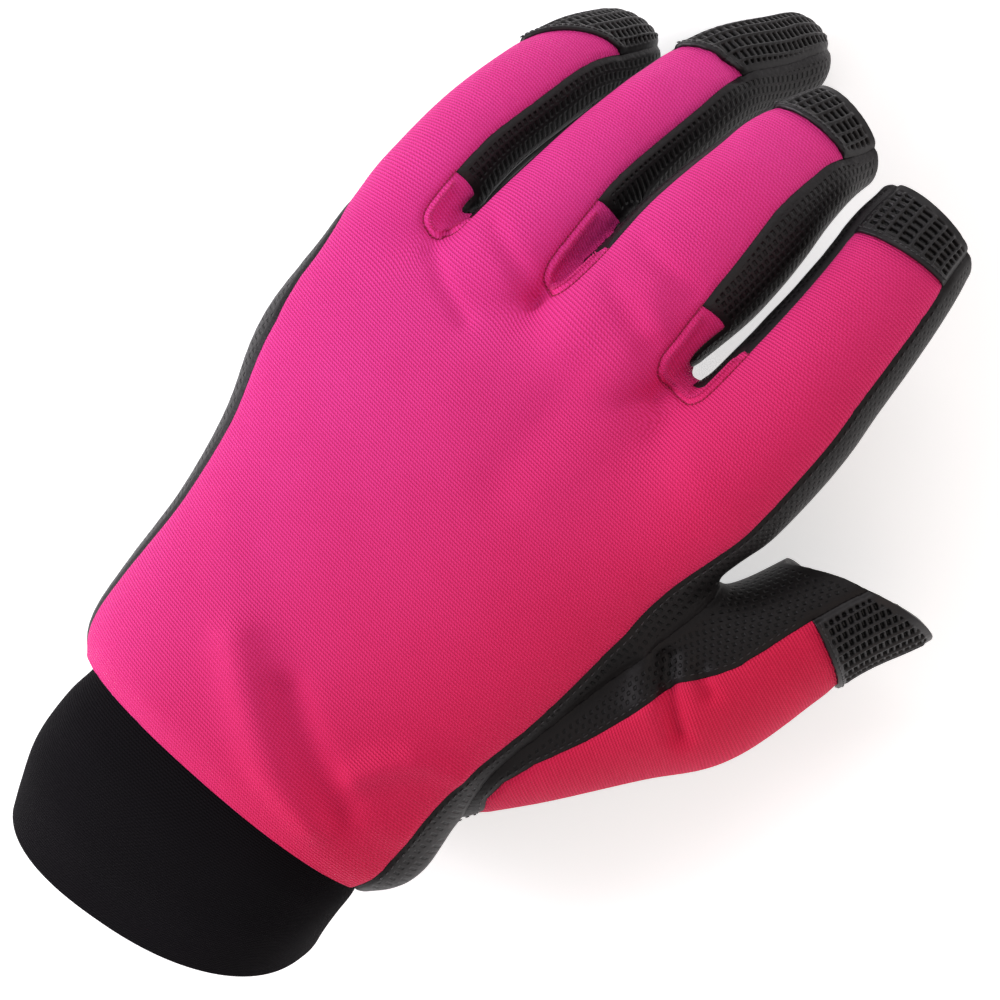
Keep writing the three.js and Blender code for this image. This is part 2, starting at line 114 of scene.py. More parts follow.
def add_light(name, place, size, power, tint):
    """A square soft light that points at the glove."""
    data = bpy.data.lights.new(name, "AREA")
    data.color = tint
    data.size = size
    data.energy = power
    light = bpy.data.objects.new(name, data)
    place = Vector(place)
    light.location = place
    light.rotation_mode = "QUATERNION"
    light.rotation_quaternion = (place - AIM).to_track_quat("Z", "Y")
    bpy.context.scene.collection.objects.link(light)
    return light


def add_floor(height):
    """A wide pale floor."""
    mesh = bpy.data.meshes.new("floor")
    corners = [(x * FLOOR_REACH, y * FLOOR_REACH, height) for x, y in ((-1, -1), (1, -1), (1, 1), (-1, 1))]
    mesh.from_pydata(corners, [], [(0, 1, 2, 3)])
    floor = bpy.data.objects.new("floor", mesh)
    bpy.context.scene.collection.objects.link(floor)
    pale = bpy.data.materials.new("pale_floor")
    pale.use_nodes = True
    shader = pale.node_tree.nodes["Principled BSDF"]
    shader.inputs["Base Color"].default_value = (0.9, 0.9, 0.9, 1)
    shader.inputs["Roughness"].default_value = 0.9
    shader.inputs["Emission Color"].default_value = (1, 1, 1, 1)
    shader.inputs["Emission Strength"].default_value = FLOOR_GLOW
    mesh.materials.append(pale)
    return floor


camera = place_camera()
add_floor(cad_box[0].z - FLOOR_DROP)
for light in LIGHTS:
    add_light(*light)
world = bpy.data.worlds.new("studio")
world.use_nodes = True
world.node_tree.nodes["Background"].inputs["Color"].default_value = (1, 1, 1, 1)
world.node_tree.nodes["Background"].inputs["Strength"].default_value = WORLD_STRENGTH
bpy.context.scene.world = world
bpy.context.scene.view_settings.view_transform = "Standard"
print("camera lens in mm:", round(camera.data.lens, 1))

# %% [markdown]
# ## Sizes
# The sizes are those of the CAD model, fitted a little closer to the picture, in millimetres from the middle
# of the hem: +Z is the back of the hand, +Y runs to the fingertips and +X to the thumb. Each limb is a short
# table of sections, as shares of its sizes.

# %% Sizes of the glove
PALM_LENGTH = 103
PALM_WIDTH = 98
PALM_DEPTH = 36
WALL = 1.3
CUFF_LENGTH = 30
CUFF_WIDTH = 61
CUFF_DEPTH = 43
CUFF_OVERLAP = 7
CUFF_DROP = 32
CUFF_SLACK = 1
HEM_GAP = 0.3
FINGERTIP_RADIUS = 9
FINGER_SQUARE = 2.15

# along, centre, width, height, depth, turn, square
PALM_ROWS = [
    (-0.045, 0.01, 0.69, -0.12, 1.22, 4, 2.2),
    (-0.01, 0.008, 0.738, -0.11, 1.3, 4, 2.3),
    (0.11, -0.006, 0.79, -0.11, 1.24, 2, 2.4),
    (0.27, -0.012, 0.82, -0.1, 1.1, 1, 2.4),
    (0.42, -0.018, 0.875, -0.08, 1.04, 1, 2.4),
    (0.58, -0.036, 0.935, -0.06, 0.98, 2, 2.4),
    (0.76, -0.05, 0.985, -0.05, 0.88, 4, 2.4),
    (0.88, -0.05, 0.97, -0.07, 0.76, 5, 2.3),
    (0.955, -0.05, 0.88, -0.1, 0.56, 6, 2.2),
]

# Each section: forward, side, drop as shares of the length, and girth as a share of the width.
FINGERS = {
    "pinky": dict(
        root=(-0.425, 0.7, -0.03), length=90, width=21.5, depth=0.9, lean=-20, cap=20.6, closed=True, slant=0,
        sections=[(0, 0, 0, 0.86), (0.15, -0.02, 0.025, 1.03), (0.31, -0.045, 0.055, 1),
                  (0.44, -0.06, 0.11, 0.97), (0.57, -0.06, 0.19, 0.955), (0.675, -0.055, 0.285, 0.95),
                  (0.745, -0.035, 0.375, 0.92)]),
    "ring": dict(
        root=(-0.225, 0.75, 0), length=104, width=21.5, depth=0.9, lean=-10, cap=28, closed=True, slant=0,
        sections=[(0, -0.005, 0, 0.88), (0.15, -0.02, 0.005, 1.03), (0.25, -0.026, 0.025, 1.04),
                  (0.35, -0.03, 0.065, 1.03), (0.475, -0.035, 0.13, 1.02), (0.6, -0.031, 0.2, 1),
                  (0.71, -0.024, 0.28, 0.94), (0.805, 0.01, 0.375, 0.85)]),
    "middle": dict(
        root=(0, 0.77, 0.02), length=86, width=26, depth=0.9, lean=0, cap=8.2, closed=False, slant=0.05,
        sections=[(0, 0, -0.01, 0.84), (0.23, 0.003, -0.01, 1.02), (0.37, 0.008, 0.02, 1.06),
                  (0.51, 0.009, 0.06, 1.13), (0.65, 0.006, 0.112, 1.06), (0.755, 0.001, 0.165, 0.94),
                  (0.83, 0, 0.21, 0.88), (0.9, 0.01, 0.262, 0.8)]),
    "index": dict(
        root=(0.325, 0.73, 0), length=90, width=27.5, depth=0.88, lean=6, cap=10, closed=False, slant=0.05,
        sections=[(0, 0, 0, 0.8), (0.2, 0, 0.005, 1.03), (0.43, -0.002, 0.028, 1.03),
                  (0.54, -0.012, 0.05, 0.97), (0.65, -0.025, 0.083, 0.93), (0.74, -0.04, 0.117, 0.9),
                  (0.83, -0.06, 0.155, 0.87), (0.88, -0.068, 0.18, 0.81)]),
    "thumb": dict(
        root=(0.295, 0.2, -0.22), length=90, width=27.5, depth=0.9, lean=68, cap=10.5, closed=False,
        slant=0.75,
        sections=[(0, 0, 0, 0.64), (0.16, 0.09, 0.01, 0.82), (0.375, 0.195, 0.055, 1.03),
                  (0.51, 0.263, 0.085, 1.18), (0.625, 0.3, 0.105, 1.13), (0.7, 0.32, 0.12, 1.05),
                  (0.79, 0.348, 0.145, 0.97), (0.85, 0.37, 0.165, 0.93)]),
}
FINGER_ORDER = ["pinky", "ring", "middle", "index"]

# along, bend, sway, width, depth, turn, square
CUFF_ROWS = [
    (0.2, 0.35, 0, 1.08, 0.98, 7, 2.2),
    (0.46, 0.8, 0, 1.1, 0.98, 11, 2.3),
    (0.73, 1, 0.015, 1.09, 0.99, 14, 2.3),
    (0.9, 1, 0.028, 1.08, 1.0, 16, 2.3),
]
print("limbs:", 1 + len(FINGERS))

# %% [markdown]
# ## Limbs
# A limb is a run of rings along a smooth curve. The same limb answers the opposite question too: for any
# point near it, how far along it the point lies, at which angle round it, and how far outside it. Every seam
# of the glove is drawn with those answers. A limb runs on straight beyond both its ends, so that points past
# an opening have an answer too.

# %% Curves and limbs
RING_STEP = 0.5
PALM_BEFORE, PALM_AFTER = 14, 60
FINGER_BEFORE, FINGER_AFTER = 8, 14


def smooth_run(rows, places):
    """Values of a smooth curve through rows, at places counted in rows."""
    rows = np.asarray(rows, float)
    low = np.clip(np.floor(places).astype(int), 0, len(rows) - 2)
    share = (places - low)[:, None]
    padded = np.vstack([2 * rows[0] - rows[1], rows, 2 * rows[-1] - rows[-2]])
    before, here, there, after = (padded[low + k] for k in range(4))
    gaps = [np.sqrt(np.linalg.norm(b[:, :3] - a[:, :3], axis=1))[:, None] + 1e-9
            for a, b in ((before, here), (here, there), (there, after))]
    first, middle, last = gaps
    start = ((here - before) / first - (there - before) / (first + middle) + (there - here) / middle) * middle
    end = ((there - here) / middle - (after - here) / (middle + last) + (after - there) / last) * middle
    square = -3 * here + 3 * there - 2 * start - end
    cube = 2 * here - 2 * there + start + end
    return here + start * share + square * share ** 2 + cube * share ** 3


def unit(vectors):
    return vectors / np.linalg.norm(vectors, axis=-1, keepdims=True)


class Limb:
    """centres: the middle of each section; halves: half its width and half its depth."""

    def __init__(self, centres, halves, lean, squares, turns, before, after, axis=None):
        count = len(centres) - 1
        places = np.linspace(0, count, 60 * count + 1)
        rows = smooth_run(np.hstack([centres, halves, np.c_[squares, turns]]), places)
        travel = np.r_[0, np.cumsum(np.linalg.norm(np.diff(rows[:, :3], axis=0), axis=1))]
        self.length = travel[-1]
        self.travel = np.arange(-before, self.length + after, RING_STEP)
        inside = np.clip(self.travel, 0, self.length)
        rows = np.stack([np.interp(inside, travel, column) for column in rows.T], axis=1)
        tangent = unit(np.gradient(rows[:, :3], axis=0) + 1e-12)
        inner = (self.travel > RING_STEP) & (self.travel < self.length - RING_STEP)
        first, last = np.flatnonzero(inner)[[0, -1]]
        tangent[:first] = tangent[first]
        tangent[last:] = tangent[last]
        if axis is not None:
            tangent[:] = axis
        beyond = (self.travel - inside)[:, None]
        self.centre = rows[:, :3] + tangent * beyond
        self.half = rows[:, 3:5]
        self.square = rows[:, 5]
        self.along = tangent
        back = np.array([math.sin(lean), 0, math.cos(lean)])
        side = unit(np.cross(tangent, back))
        self.up = np.cross(side, tangent)
        turn = np.radians(rows[:, 6])[:, None]
        self.side = side * np.cos(turn) + tangent * np.sin(turn)
        self.normal = np.cross(self.up, self.side)

    def at(self, values, places):
        low = np.clip(np.floor(places).astype(int), 0, len(values) - 2)
        share = places - low
        if values.ndim > 1:
            share = share[:, None]
        return values[low] * (1 - share) + values[low + 1] * share

    def ring(self, place, angles, pinch=(0.0, 0.0)):
        """Points round the limb at a place counted in ring steps. pinch: mm off its outer and inner side."""
        place = np.full(len(angles), float(place))
        power = 2 / self.at(self.square, place)
        lateral = np.sign(np.sin(angles)) * np.abs(np.sin(angles)) ** power
        dorsal = np.sign(np.cos(angles)) * np.abs(np.cos(angles)) ** power
        half = self.at(self.half, place)
        across = (half[:, 0] * lateral - pinch[1] * np.clip(lateral, 0, 1) ** 2
                  + pinch[0] * np.clip(lateral, -1, 0) ** 2)
        return (self.at(self.centre, place) + self.at(self.side, place) * across[:, None]
                + self.at(self.up, place) * (half[:, 1] * dorsal)[:, None])

    def locate(self, points):
        """Each point's travel, angle, height above the surface, radius, rise and place across."""
        coarse = self.centre[::8]
        near = np.argmin(((points[:, None, :] - coarse[None]) ** 2).sum(2), axis=1) * 8.0
        last = len(self.travel) - 1.001
        for _ in range(5):
            off = points - self.at(self.centre, near)
            near = np.clip(near + (off * unit(self.at(self.normal, near))).sum(1) / RING_STEP, 0, last)
        off = points - self.at(self.centre, near)
        half = self.at(self.half, near)
        lateral = (off * self.at(self.side, near)).sum(1) / half[:, 0]
        dorsal = (off * self.at(self.up, near)).sum(1) / half[:, 1]
        square = self.at(self.square, near)
        share = (np.abs(lateral) ** square + np.abs(dorsal) ** square) ** (1 / square) + 1e-9
        angle = np.arctan2(np.sign(lateral) * np.abs(lateral) ** (square / 2),
                           np.sign(dorsal) * np.abs(dorsal) ** (square / 2))
        radius = np.hypot(lateral * half[:, 0], dorsal * half[:, 1])
        height = (share - 1) * radius / share
        travel = self.at(self.travel, near)
        return dict(travel=travel, angle=angle, height=height, radius=radius / share,
                    rise=dorsal * half[:, 1], across=lateral * half[:, 0])


def palm_limb():
    rows = np.array(PALM_ROWS, float)
    centres = rows[:, [1, 0, 3]] * [PALM_WIDTH, PALM_LENGTH, PALM_DEPTH]
    halves = rows[:, [2, 4]] * [PALM_WIDTH, PALM_DEPTH] / 2
    return Limb(centres, halves, 0, rows[:, 6], rows[:, 5], PALM_BEFORE, PALM_AFTER, axis=(0, 1, 0))


def finger_limb(finger):
    rows = np.array(finger["sections"], float)
    root = np.array(finger["root"]) * [PALM_WIDTH, PALM_LENGTH, PALM_DEPTH]
    centres = root + rows[:, [1, 0, 2]] * [1, 1, -1] * finger["length"]
    halves = rows[:, 3:4] * finger["width"] / 2 * [1, finger["depth"]]
    square = np.full(len(rows), FINGER_SQUARE)
    return Limb(centres, halves, math.radians(finger["lean"]), square, 0 * square,
                FINGER_BEFORE, FINGER_AFTER)


palm = palm_limb()
limbs = {name: finger_limb(finger) for name, finger in FINGERS.items()}
for name, limb in limbs.items():
    print(name, "length along its curve in mm:", round(limb.length, 1))

# %% [markdown]
# ## The whole form
# The palm and the five fingers are lofted one by one, joined, and remeshed with small voxels into one skin.
# Cloth doesn't crease where two limbs meet, so the skin is relaxed most round the roots of the fingers.

# %% One skin
VOXEL = 0.85
RING_SIDES = 72
RING_GAP = 2.0
OPEN_RUN = 4.0
FINGER_RUN = 12
TIP_TURNS = np.radians(np.arange(12, 90, 12))
TIP_POWER = 0.85

# Neighbouring fingers press on each other: mm off the outer and the inner side, and where that sets in.
PINCHES = {"pinky": (0, 1.1), "ring": (0.9, 0.2)}
PINCH_TRAVEL = (14, 26)

# The cloth in the corner between two limbs: the middle of a drop, and its half sizes.
WEBS = [((-12.0, 96.0, -4.5), (5.0, 7.5, 6.5)), ((19.0, 100.5, -1.0), (6.5, 8.5, 7.0)),
        ((44.0, 72.0, -8.0), (6.5, 10.0, 7.5))]


def rise(values, low, high):
    """0 below low, 1 above high, and smooth between."""
    share = np.clip((values - low) / (high - low), 0, 1)
    return share * share * (3 - 2 * share)


def web_drop(middle, half):
    """A rounded drop of cloth, as rings and end points."""
    sides, steps = 24, 12
    turns = np.linspace(0, math.pi, steps + 1)[1:-1]
    angles = np.linspace(0, 2 * math.pi, sides, endpoint=False)
    rings = [np.c_[np.cos(angles) * math.sin(t), np.sin(angles) * math.sin(t), np.full(sides, -math.cos(t))]
             for t in turns]
    points = np.vstack(rings + [np.array([[0, 0, -1.0]]), np.array([[0, 0, 1.0]])])
    return points * half + middle, loft_faces(len(rings), sides)


def loft_faces(rings, sides):
    """Quads between rings, and a fan of triangles over each end, whose middle is the last two points."""
    faces = []
    for r in range(rings - 1):
        for k in range(sides):
            n = (k + 1) % sides
            faces.append((r * sides + k, r * sides + n, (r + 1) * sides + n, (r + 1) * sides + k))
    start, end, last = rings * sides, rings * sides + 1, (rings - 1) * sides
    for k in range(sides):
        n = (k + 1) % sides
        faces.append((start, n, k))
        faces.append((end, last + k, last + n))
    return faces


def loft_limb(limb, start, stop, closed, pinch=(0, 0)):
    """Rings from one travel to another, rounded off over a closed tip."""
    angles = np.linspace(0, 2 * math.pi, RING_SIDES, endpoint=False)
    travels = np.arange(start, stop + 0.01, RING_GAP)
    set_in = rise(travels, *PINCH_TRAVEL)
    rings = [limb.ring((t - limb.travel[0]) / RING_STEP, angles, (pinch[0] * share, pinch[1] * share))
             for t, share in zip(travels, set_in)]
    tip = np.array([stop])
    if closed:
        for turn in TIP_TURNS:
            place = (stop + FINGERTIP_RADIUS * math.sin(turn) - limb.travel[0]) / RING_STEP
            centre = limb.at(limb.centre, np.array([place]))
            rings.append(centre + (limb.ring(place, angles, pinch) - centre) * math.cos(turn) ** TIP_POWER)
        tip = tip + FINGERTIP_RADIUS
    middle = [limb.at(limb.centre, (t - limb.travel[0]) / RING_STEP) for t in (np.array([start]), tip)]
    return np.vstack(rings + middle), loft_faces(len(rings), RING_SIDES)


def all_lofts():
    """Points and faces of every limb, run on past its openings."""
    parts = [loft_limb(palm, -OPEN_RUN, palm.length, False)]
    for name, finger in FINGERS.items():
        run = 0 if finger["closed"] else FINGER_RUN
        pinch = PINCHES.get(name, (0, 0))
        parts.append(loft_limb(limbs[name], 0, limbs[name].length + run, finger["closed"], pinch))
    parts += [web_drop(*web) for web in WEBS]
    points, faces, base = [], [], 0
    for part_points, part_faces in parts:
        points.append(part_points)
        faces += [tuple(base + v for v in face) for face in part_faces]
        base += len(part_points)
    return np.vstack(points), faces


def mesh_object(name, points, faces):
    """A new object with a mesh in it, linked to the scene."""
    mesh = bpy.data.meshes.new(name)
    mesh.from_pydata(np.asarray(points).tolist(), [], faces if isinstance(faces, list) else faces.tolist())
    made = bpy.data.objects.new(name, mesh)
    bpy.context.scene.collection.objects.link(made)
    return made


def triangles_of(mesh):
    mesh.calc_loop_triangles()
    tris = np.empty(len(mesh.loop_triangles) * 3, np.int32)
    mesh.loop_triangles.foreach_get("vertices", tris)
    points = np.empty(len(mesh.vertices) * 3, np.float32)
    mesh.vertices.foreach_get("co", points)
    return points.reshape(-1, 3).astype(float), tris.reshape(-1, 3).astype(int)


def one_skin():
    """The lofts remeshed into one closed mesh."""
    rough = mesh_object("rough_form", *all_lofts())
    remesh = rough.modifiers.new("skin", "REMESH")
    remesh.mode = "VOXEL"
    remesh.voxel_size = VOXEL
    graph = bpy.context.evaluated_depsgraph_get()
    skin = bpy.data.meshes.new_from_object(rough.evaluated_get(graph))
    points, tris = triangles_of(skin)
    bpy.data.objects.remove(rough)
    bpy.data.meshes.remove(skin)
    return points, tris


def edges_of(tris):
    pairs = np.sort(np.vstack([tris[:, [0, 1]], tris[:, [1, 2]], tris[:, [2, 0]]]), axis=1)
    return np.unique(pairs, axis=0)


def relax(points, tris, amount, rounds):
    """Moves each point towards the middle of its neighbours, by its own amount."""
    one, two = edges_of(tris).T
    number = np.bincount(np.r_[one, two], minlength=len(points))[:, None]
    for _ in range(rounds):
        total = np.stack([np.bincount(one, points[two, k], len(points))
                          + np.bincount(two, points[one, k], len(points)) for k in range(3)], axis=1)
        points = points + (total / number - points) * amount[:, None]
    return points


def point_normals(points, tris):
    corner = points[tris]
    face = np.cross(corner[:, 1] - corner[:, 0], corner[:, 2] - corner[:, 0])
    total = np.stack([np.bincount(tris.ravel(), np.repeat(face[:, k], 3), len(points))
                      for k in range(3)], axis=1)
    return unit(total + 1e-12)


# Where the cloth stands off the hand: the middle of the place, how far it reaches, and its height in mm
SWELLS = [((39, 7, -5), 9, 2.8), ((-52, 62, -4), 13, 2.4), ((-38, -2, 2), 10, 1.4), ((-51, 83, -4), 11, 1.6),
          ((-30.6, 141.7, -9), 4.5, 0.9), ((-10.9, 148, -6), 5, 0.8)]

# The skin is relaxed over many rounds between these heights, in mm from the hem, and over a few everywhere.
ROOT_LOW, ROOT_HIGH, WEB_LOW, WEB_END = 52, 76, 86, 97
RELAX_SHARE = 0.5
ROOT_ROUNDS, ALL_ROUNDS = 160, 8

skin_points, skin_tris = one_skin()
at_roots = rise(skin_points[:, 1], ROOT_LOW, ROOT_HIGH) * (1 - rise(skin_points[:, 1], WEB_LOW, WEB_END))
skin_points = relax(skin_points, skin_tris, RELAX_SHARE * at_roots, ROOT_ROUNDS)
skin_points = relax(skin_points, skin_tris, np.full(len(skin_points), RELAX_SHARE), ALL_ROUNDS)
swell = sum(lift * np.exp(-((skin_points - middle) ** 2).sum(1) / reach ** 2)
            for middle, reach, lift in SWELLS)
skin_points = skin_points + point_normals(skin_points, skin_tris) * swell[:, None]
print("skin triangles:", len(skin_tris))

# %% [markdown]
# ## Where the seams run
# A seam is the line where a field is zero. A field is a length in millimetres that is positive on one side of
# the seam and negative on the other, worked out at every point of the skin from where it lies on its limbs.
# Round a crotch the seam has to turn back along the next finger, so there the finger's field gives way,
# softly, to one that only knows how far up the hand a point is. A gusset is a leaf of pink cloth in a crotch.
# It reaches up both fingers and runs through to the palm in the bottom of the crotch.

# %% Seam fields
FINGER_BACK_EDGE = math.radians(52)
FINGER_PALM_EDGE = math.radians(112)
THUMB_BACK_EDGE = math.radians(62)
PALM_UNDER_EDGE = math.radians(104)

# Where the back panel ends on the thumb side and on the other side: mm from the hem, and degrees round the
# palm
RADIAL_EDGE = [(0, 76), (8, 72), (16, 69), (30, 68), (45, 69), (70, 69), (85, 65), (95, 62)]
ULNAR_EDGE = [(0, 72), (20, 65), (50, 62), (70, 64), (80, 71), (95, 74)]

# Where the pink of the thumb ends on the index's side: mm along the thumb, and degrees round it
THUMB_EDGE = [(0, -40), (7, -30), (10, 8), (14, 26), (20, 36), (30, 42), (38, 50), (44, 57),
              (48, 64), (52, 62), (60, 57), (70, 58), (85, 60)]

# How much further round the back reaches at shares of a finger's length, in degrees: outer side, thumb side
BACK_REACH = {
    "pinky": ([(0, 14), (0.2, 12), (0.4, 2), (1, 0)],
              [(0, -10), (0.2, -12), (0.35, -10), (0.6, -6), (0.85, -4), (1, -2)]),
    "ring": ([(0, 0), (1, 0)], [(0, 8), (0.25, 4), (0.45, -11), (0.75, -16), (1, -19)]),
    "middle": ([(0, 0), (0.3, 1), (0.6, 3), (1, 9)],
               [(0, 8), (0.25, 3), (0.4, -10), (0.5, -18), (0.7, -27), (0.85, -22), (1, -10)]),
    "index": ([(0, 0), (1, 0)], [(0, 0), (0.4, -4), (0.7, -4), (1, 0)]),
}

# How far a cap's edge leans, and an open end, in mm for each mm across the finger
CAP_LEAN = np.array([0.7, 0.3, 0.08, 0])
OPEN_LEAN = np.array([0, 0, 0, -0.12])
THUMB_END_LEAN = -0.35
THUMB_END_LOW = -7
ROOT_BLEND = (3, 22)
TURN_SOFTNESS = 5.0
CLOTH_BLEND = 2.0

# The lowest point of each crotch's seam on the back and on the palm, and how far its gusset reaches up the
# one finger and up the next, in mm
CROTCH_BACK = np.array([93.5, 101.5, 104.0])
CROTCH_PALM = np.array([92.0, 96.0, 99.0])
GUSSET_REACH = np.array([12.0, 18.0, 15.0])
NEXT_REACH = np.array([8.0, 13.0, 14.0])

# How wide a gusset is: on the one finger at the crotch, how much it widens for each mm up, and on the next
# finger. It reaches further down a finger's side than up it: a mm down counts for a share of a mm.
LEAF_WIDTH = 3.0
LEAF_GROWTH = 0.42
LIP_STRIP = 3.0
LEAF_DOWN = 0.8

# In the bottom of a crotch the gusset runs through to the palm: half its width there, how far up that goes,
# and how fast it narrows above
VALLEY_HALF = 1.9
VALLEY_TOP = 7.0
VALLEY_NARROWING = 1.5

# A field's value where its seam can't run, in mm
NOWHERE = -50


def blend_max(one, two, soft):
    """The larger of two fields, rounded off where they are alike."""
    share = np.clip(0.5 + 0.5 * (one - two) / soft, 0, 1)
    return two * (1 - share) + one * share + soft * share * (1 - share)


def table(rows, where):
    """Radians read from rows of a place and degrees."""
    places, degrees = zip(*rows)
    return np.radians(np.interp(where, places, degrees))


def pick(values, which):
    return np.stack(values)[which, np.arange(len(which))]


def seam_fields(points):
    """Every seam's field and the cloth's own coordinates at each point, as named columns."""
    fingers = [limbs[name].locate(points) for name in FINGER_ORDER]
    thumb = limbs["thumb"].locate(points)
    hand = palm.locate(points)
    y = points[:, 1]
    heights = np.stack([f["height"] for f in fingers])
    near = np.argmin(heights, axis=0)
    angle, radius, travel, across, finger_rise = (
        pick([f[key] for f in fingers], near) for key in ("angle", "radius", "travel", "across", "rise"))
    turn = np.abs(angle)
    inner = ~(((near == 0) & (angle < 0)) | ((near == 3) & (angle > 0)))
    crotch = np.clip(near + (angle > 0) - 1, 0, 2)
    finger_share = rise(travel, *ROOT_BLEND)

    reach = [[table(BACK_REACH[name][k], f["travel"] / limbs[name].length) for k in (0, 1)]
             for name, f in zip(FINGER_ORDER, fingers)]
    reach = np.where(angle > 0, pick([r[1] for r in reach], near), pick([r[0] for r in reach], near))
    back = (FINGER_BACK_EDGE + reach - turn) * radius
    back = np.where(inner, blend_max(back, CROTCH_BACK[crotch] - y, TURN_SOFTNESS), back)
    palm_back = hand["radius"] * np.minimum(hand["angle"] + table(ULNAR_EDGE, hand["travel"]),
                                            table(RADIAL_EDGE, hand["travel"]) - hand["angle"])
    under = (turn - FINGER_PALM_EDGE) * radius
    under = np.where(inner, blend_max(under, CROTCH_PALM[crotch] - y, TURN_SOFTNESS), under)
    palm_under = (np.abs(hand["angle"]) - PALM_UNDER_EDGE) * hand["radius"]

    from_crotch = y - CROTCH_BACK[crotch]
    below_seam = (turn - FINGER_BACK_EDGE) * radius
    up_finger = np.where(angle > 0, GUSSET_REACH[crotch], NEXT_REACH[crotch])
    leaf = np.where(angle > 0, LEAF_WIDTH + LEAF_GROWTH * np.clip(from_crotch, 0, None), LIP_STRIP)
    from_top = up_finger - np.hypot(np.clip(from_crotch, 0, None), below_seam * LEAF_DOWN)
    gusset_top = np.where(inner, from_top, NOWHERE)
    nearest, second = np.sort(heights, axis=0)[:2]
    valley = VALLEY_HALF - (second - nearest) - VALLEY_NARROWING * np.clip(from_crotch - VALLEY_TOP, 0, None)
    gusset = np.minimum(gusset_top, np.maximum(leaf + back, valley))

    lengths = np.array([limbs[name].length for name in FINGER_ORDER])
    caps = np.array([FINGERS[n]["cap"] - FINGERTIP_RADIUS * FINGERS[n]["closed"] for n in FINGER_ORDER])
    slants = np.array([FINGERS[name]["slant"] for name in FINGER_ORDER])
    closed = np.array([FINGERS[name]["closed"] for name in FINGER_ORDER])
    opening = np.where(closed[near], NOWHERE, travel - lengths[near] - slants[near] * finger_rise
                       - OPEN_LEAN[near] * across)
    thumb_length = limbs["thumb"].length
    thumb_open = (thumb["travel"] - thumb_length + THUMB_END_LEAN * thumb["across"]
                  - FINGERS["thumb"]["slant"] * np.maximum(thumb["rise"], THUMB_END_LOW))
    thumb_over = hand["height"] - thumb["height"]
    on_thumb = thumb_over > 0
    roots = np.array([limbs[name].centre[int(FINGER_BEFORE / RING_STEP)] for name in FINGER_ORDER])

    # On the cloth itself one finger passes softly into the next, so no rib of the knit is broken.
    weight = np.exp((nearest - heights) / CLOTH_BLEND)
    weight = weight / weight.sum(0)

    def blended(values):
        return (np.stack(values) * weight).sum(0)

    on_finger = blended([rise(f["travel"], *ROOT_BLEND) for f in fingers])
    over_u = blended([root[0] + f["angle"] * f["radius"] for root, f in zip(roots, fingers)])
    over_v = blended([root[1] + f["travel"] for root, f in zip(roots, fingers)])
    under_u = blended([root[0] + (math.pi - np.abs(f["angle"])) * np.sign(f["angle"]) * f["radius"]
                       for root, f in zip(roots, fingers)])
    return {
        "back": palm_back * (1 - finger_share) + back * finger_share,
        "under": palm_under * (1 - finger_share) + under * finger_share,
        "gusset": gusset,
        "gusset_top": gusset_top,
        "cap": travel - (lengths - caps)[near] - CAP_LEAN[near] * across,
        "opening": np.where(on_thumb, thumb_open, opening),
        "hem": -hand["travel"],
        "thumb": thumb_over,
        "thumb_back": thumb["radius"] * np.minimum(thumb["angle"] + table(THUMB_EDGE, thumb["travel"]),
                                                   THUMB_BACK_EDGE - thumb["angle"]),
        "thumb_cap": thumb["travel"] - (thumb_length - FINGERS["thumb"]["cap"]),
        "finger": near * 1.0,
        "inner": np.where(np.where(finger_share > 0.5, angle, hand["angle"]) > 0, 1.0, -1.0),
        "u": np.where(on_thumb, thumb["angle"] * thumb["radius"],
                      points[:, 0] * (1 - on_finger) + over_u * on_finger),
        "v": np.where(on_thumb, thumb["travel"], y * (1 - on_finger) + over_v * on_finger),
        "belly_u": np.where(
            on_thumb, (math.pi - np.abs(thumb["angle"])) * np.sign(thumb["angle"]) * thumb["radius"],
            points[:, 0] * (1 - on_finger) + under_u * on_finger),
    }


# %% [markdown]
# ## Cutting the skin along its seams
# Cutting means splitting every edge that a seam crosses, and moving a point that lies almost on the seam onto
# it, so that no thin slivers are left. A new point takes its fields from the two ends of its edge.

# %% Cutting tools
SNAP_SHARE = 0.22


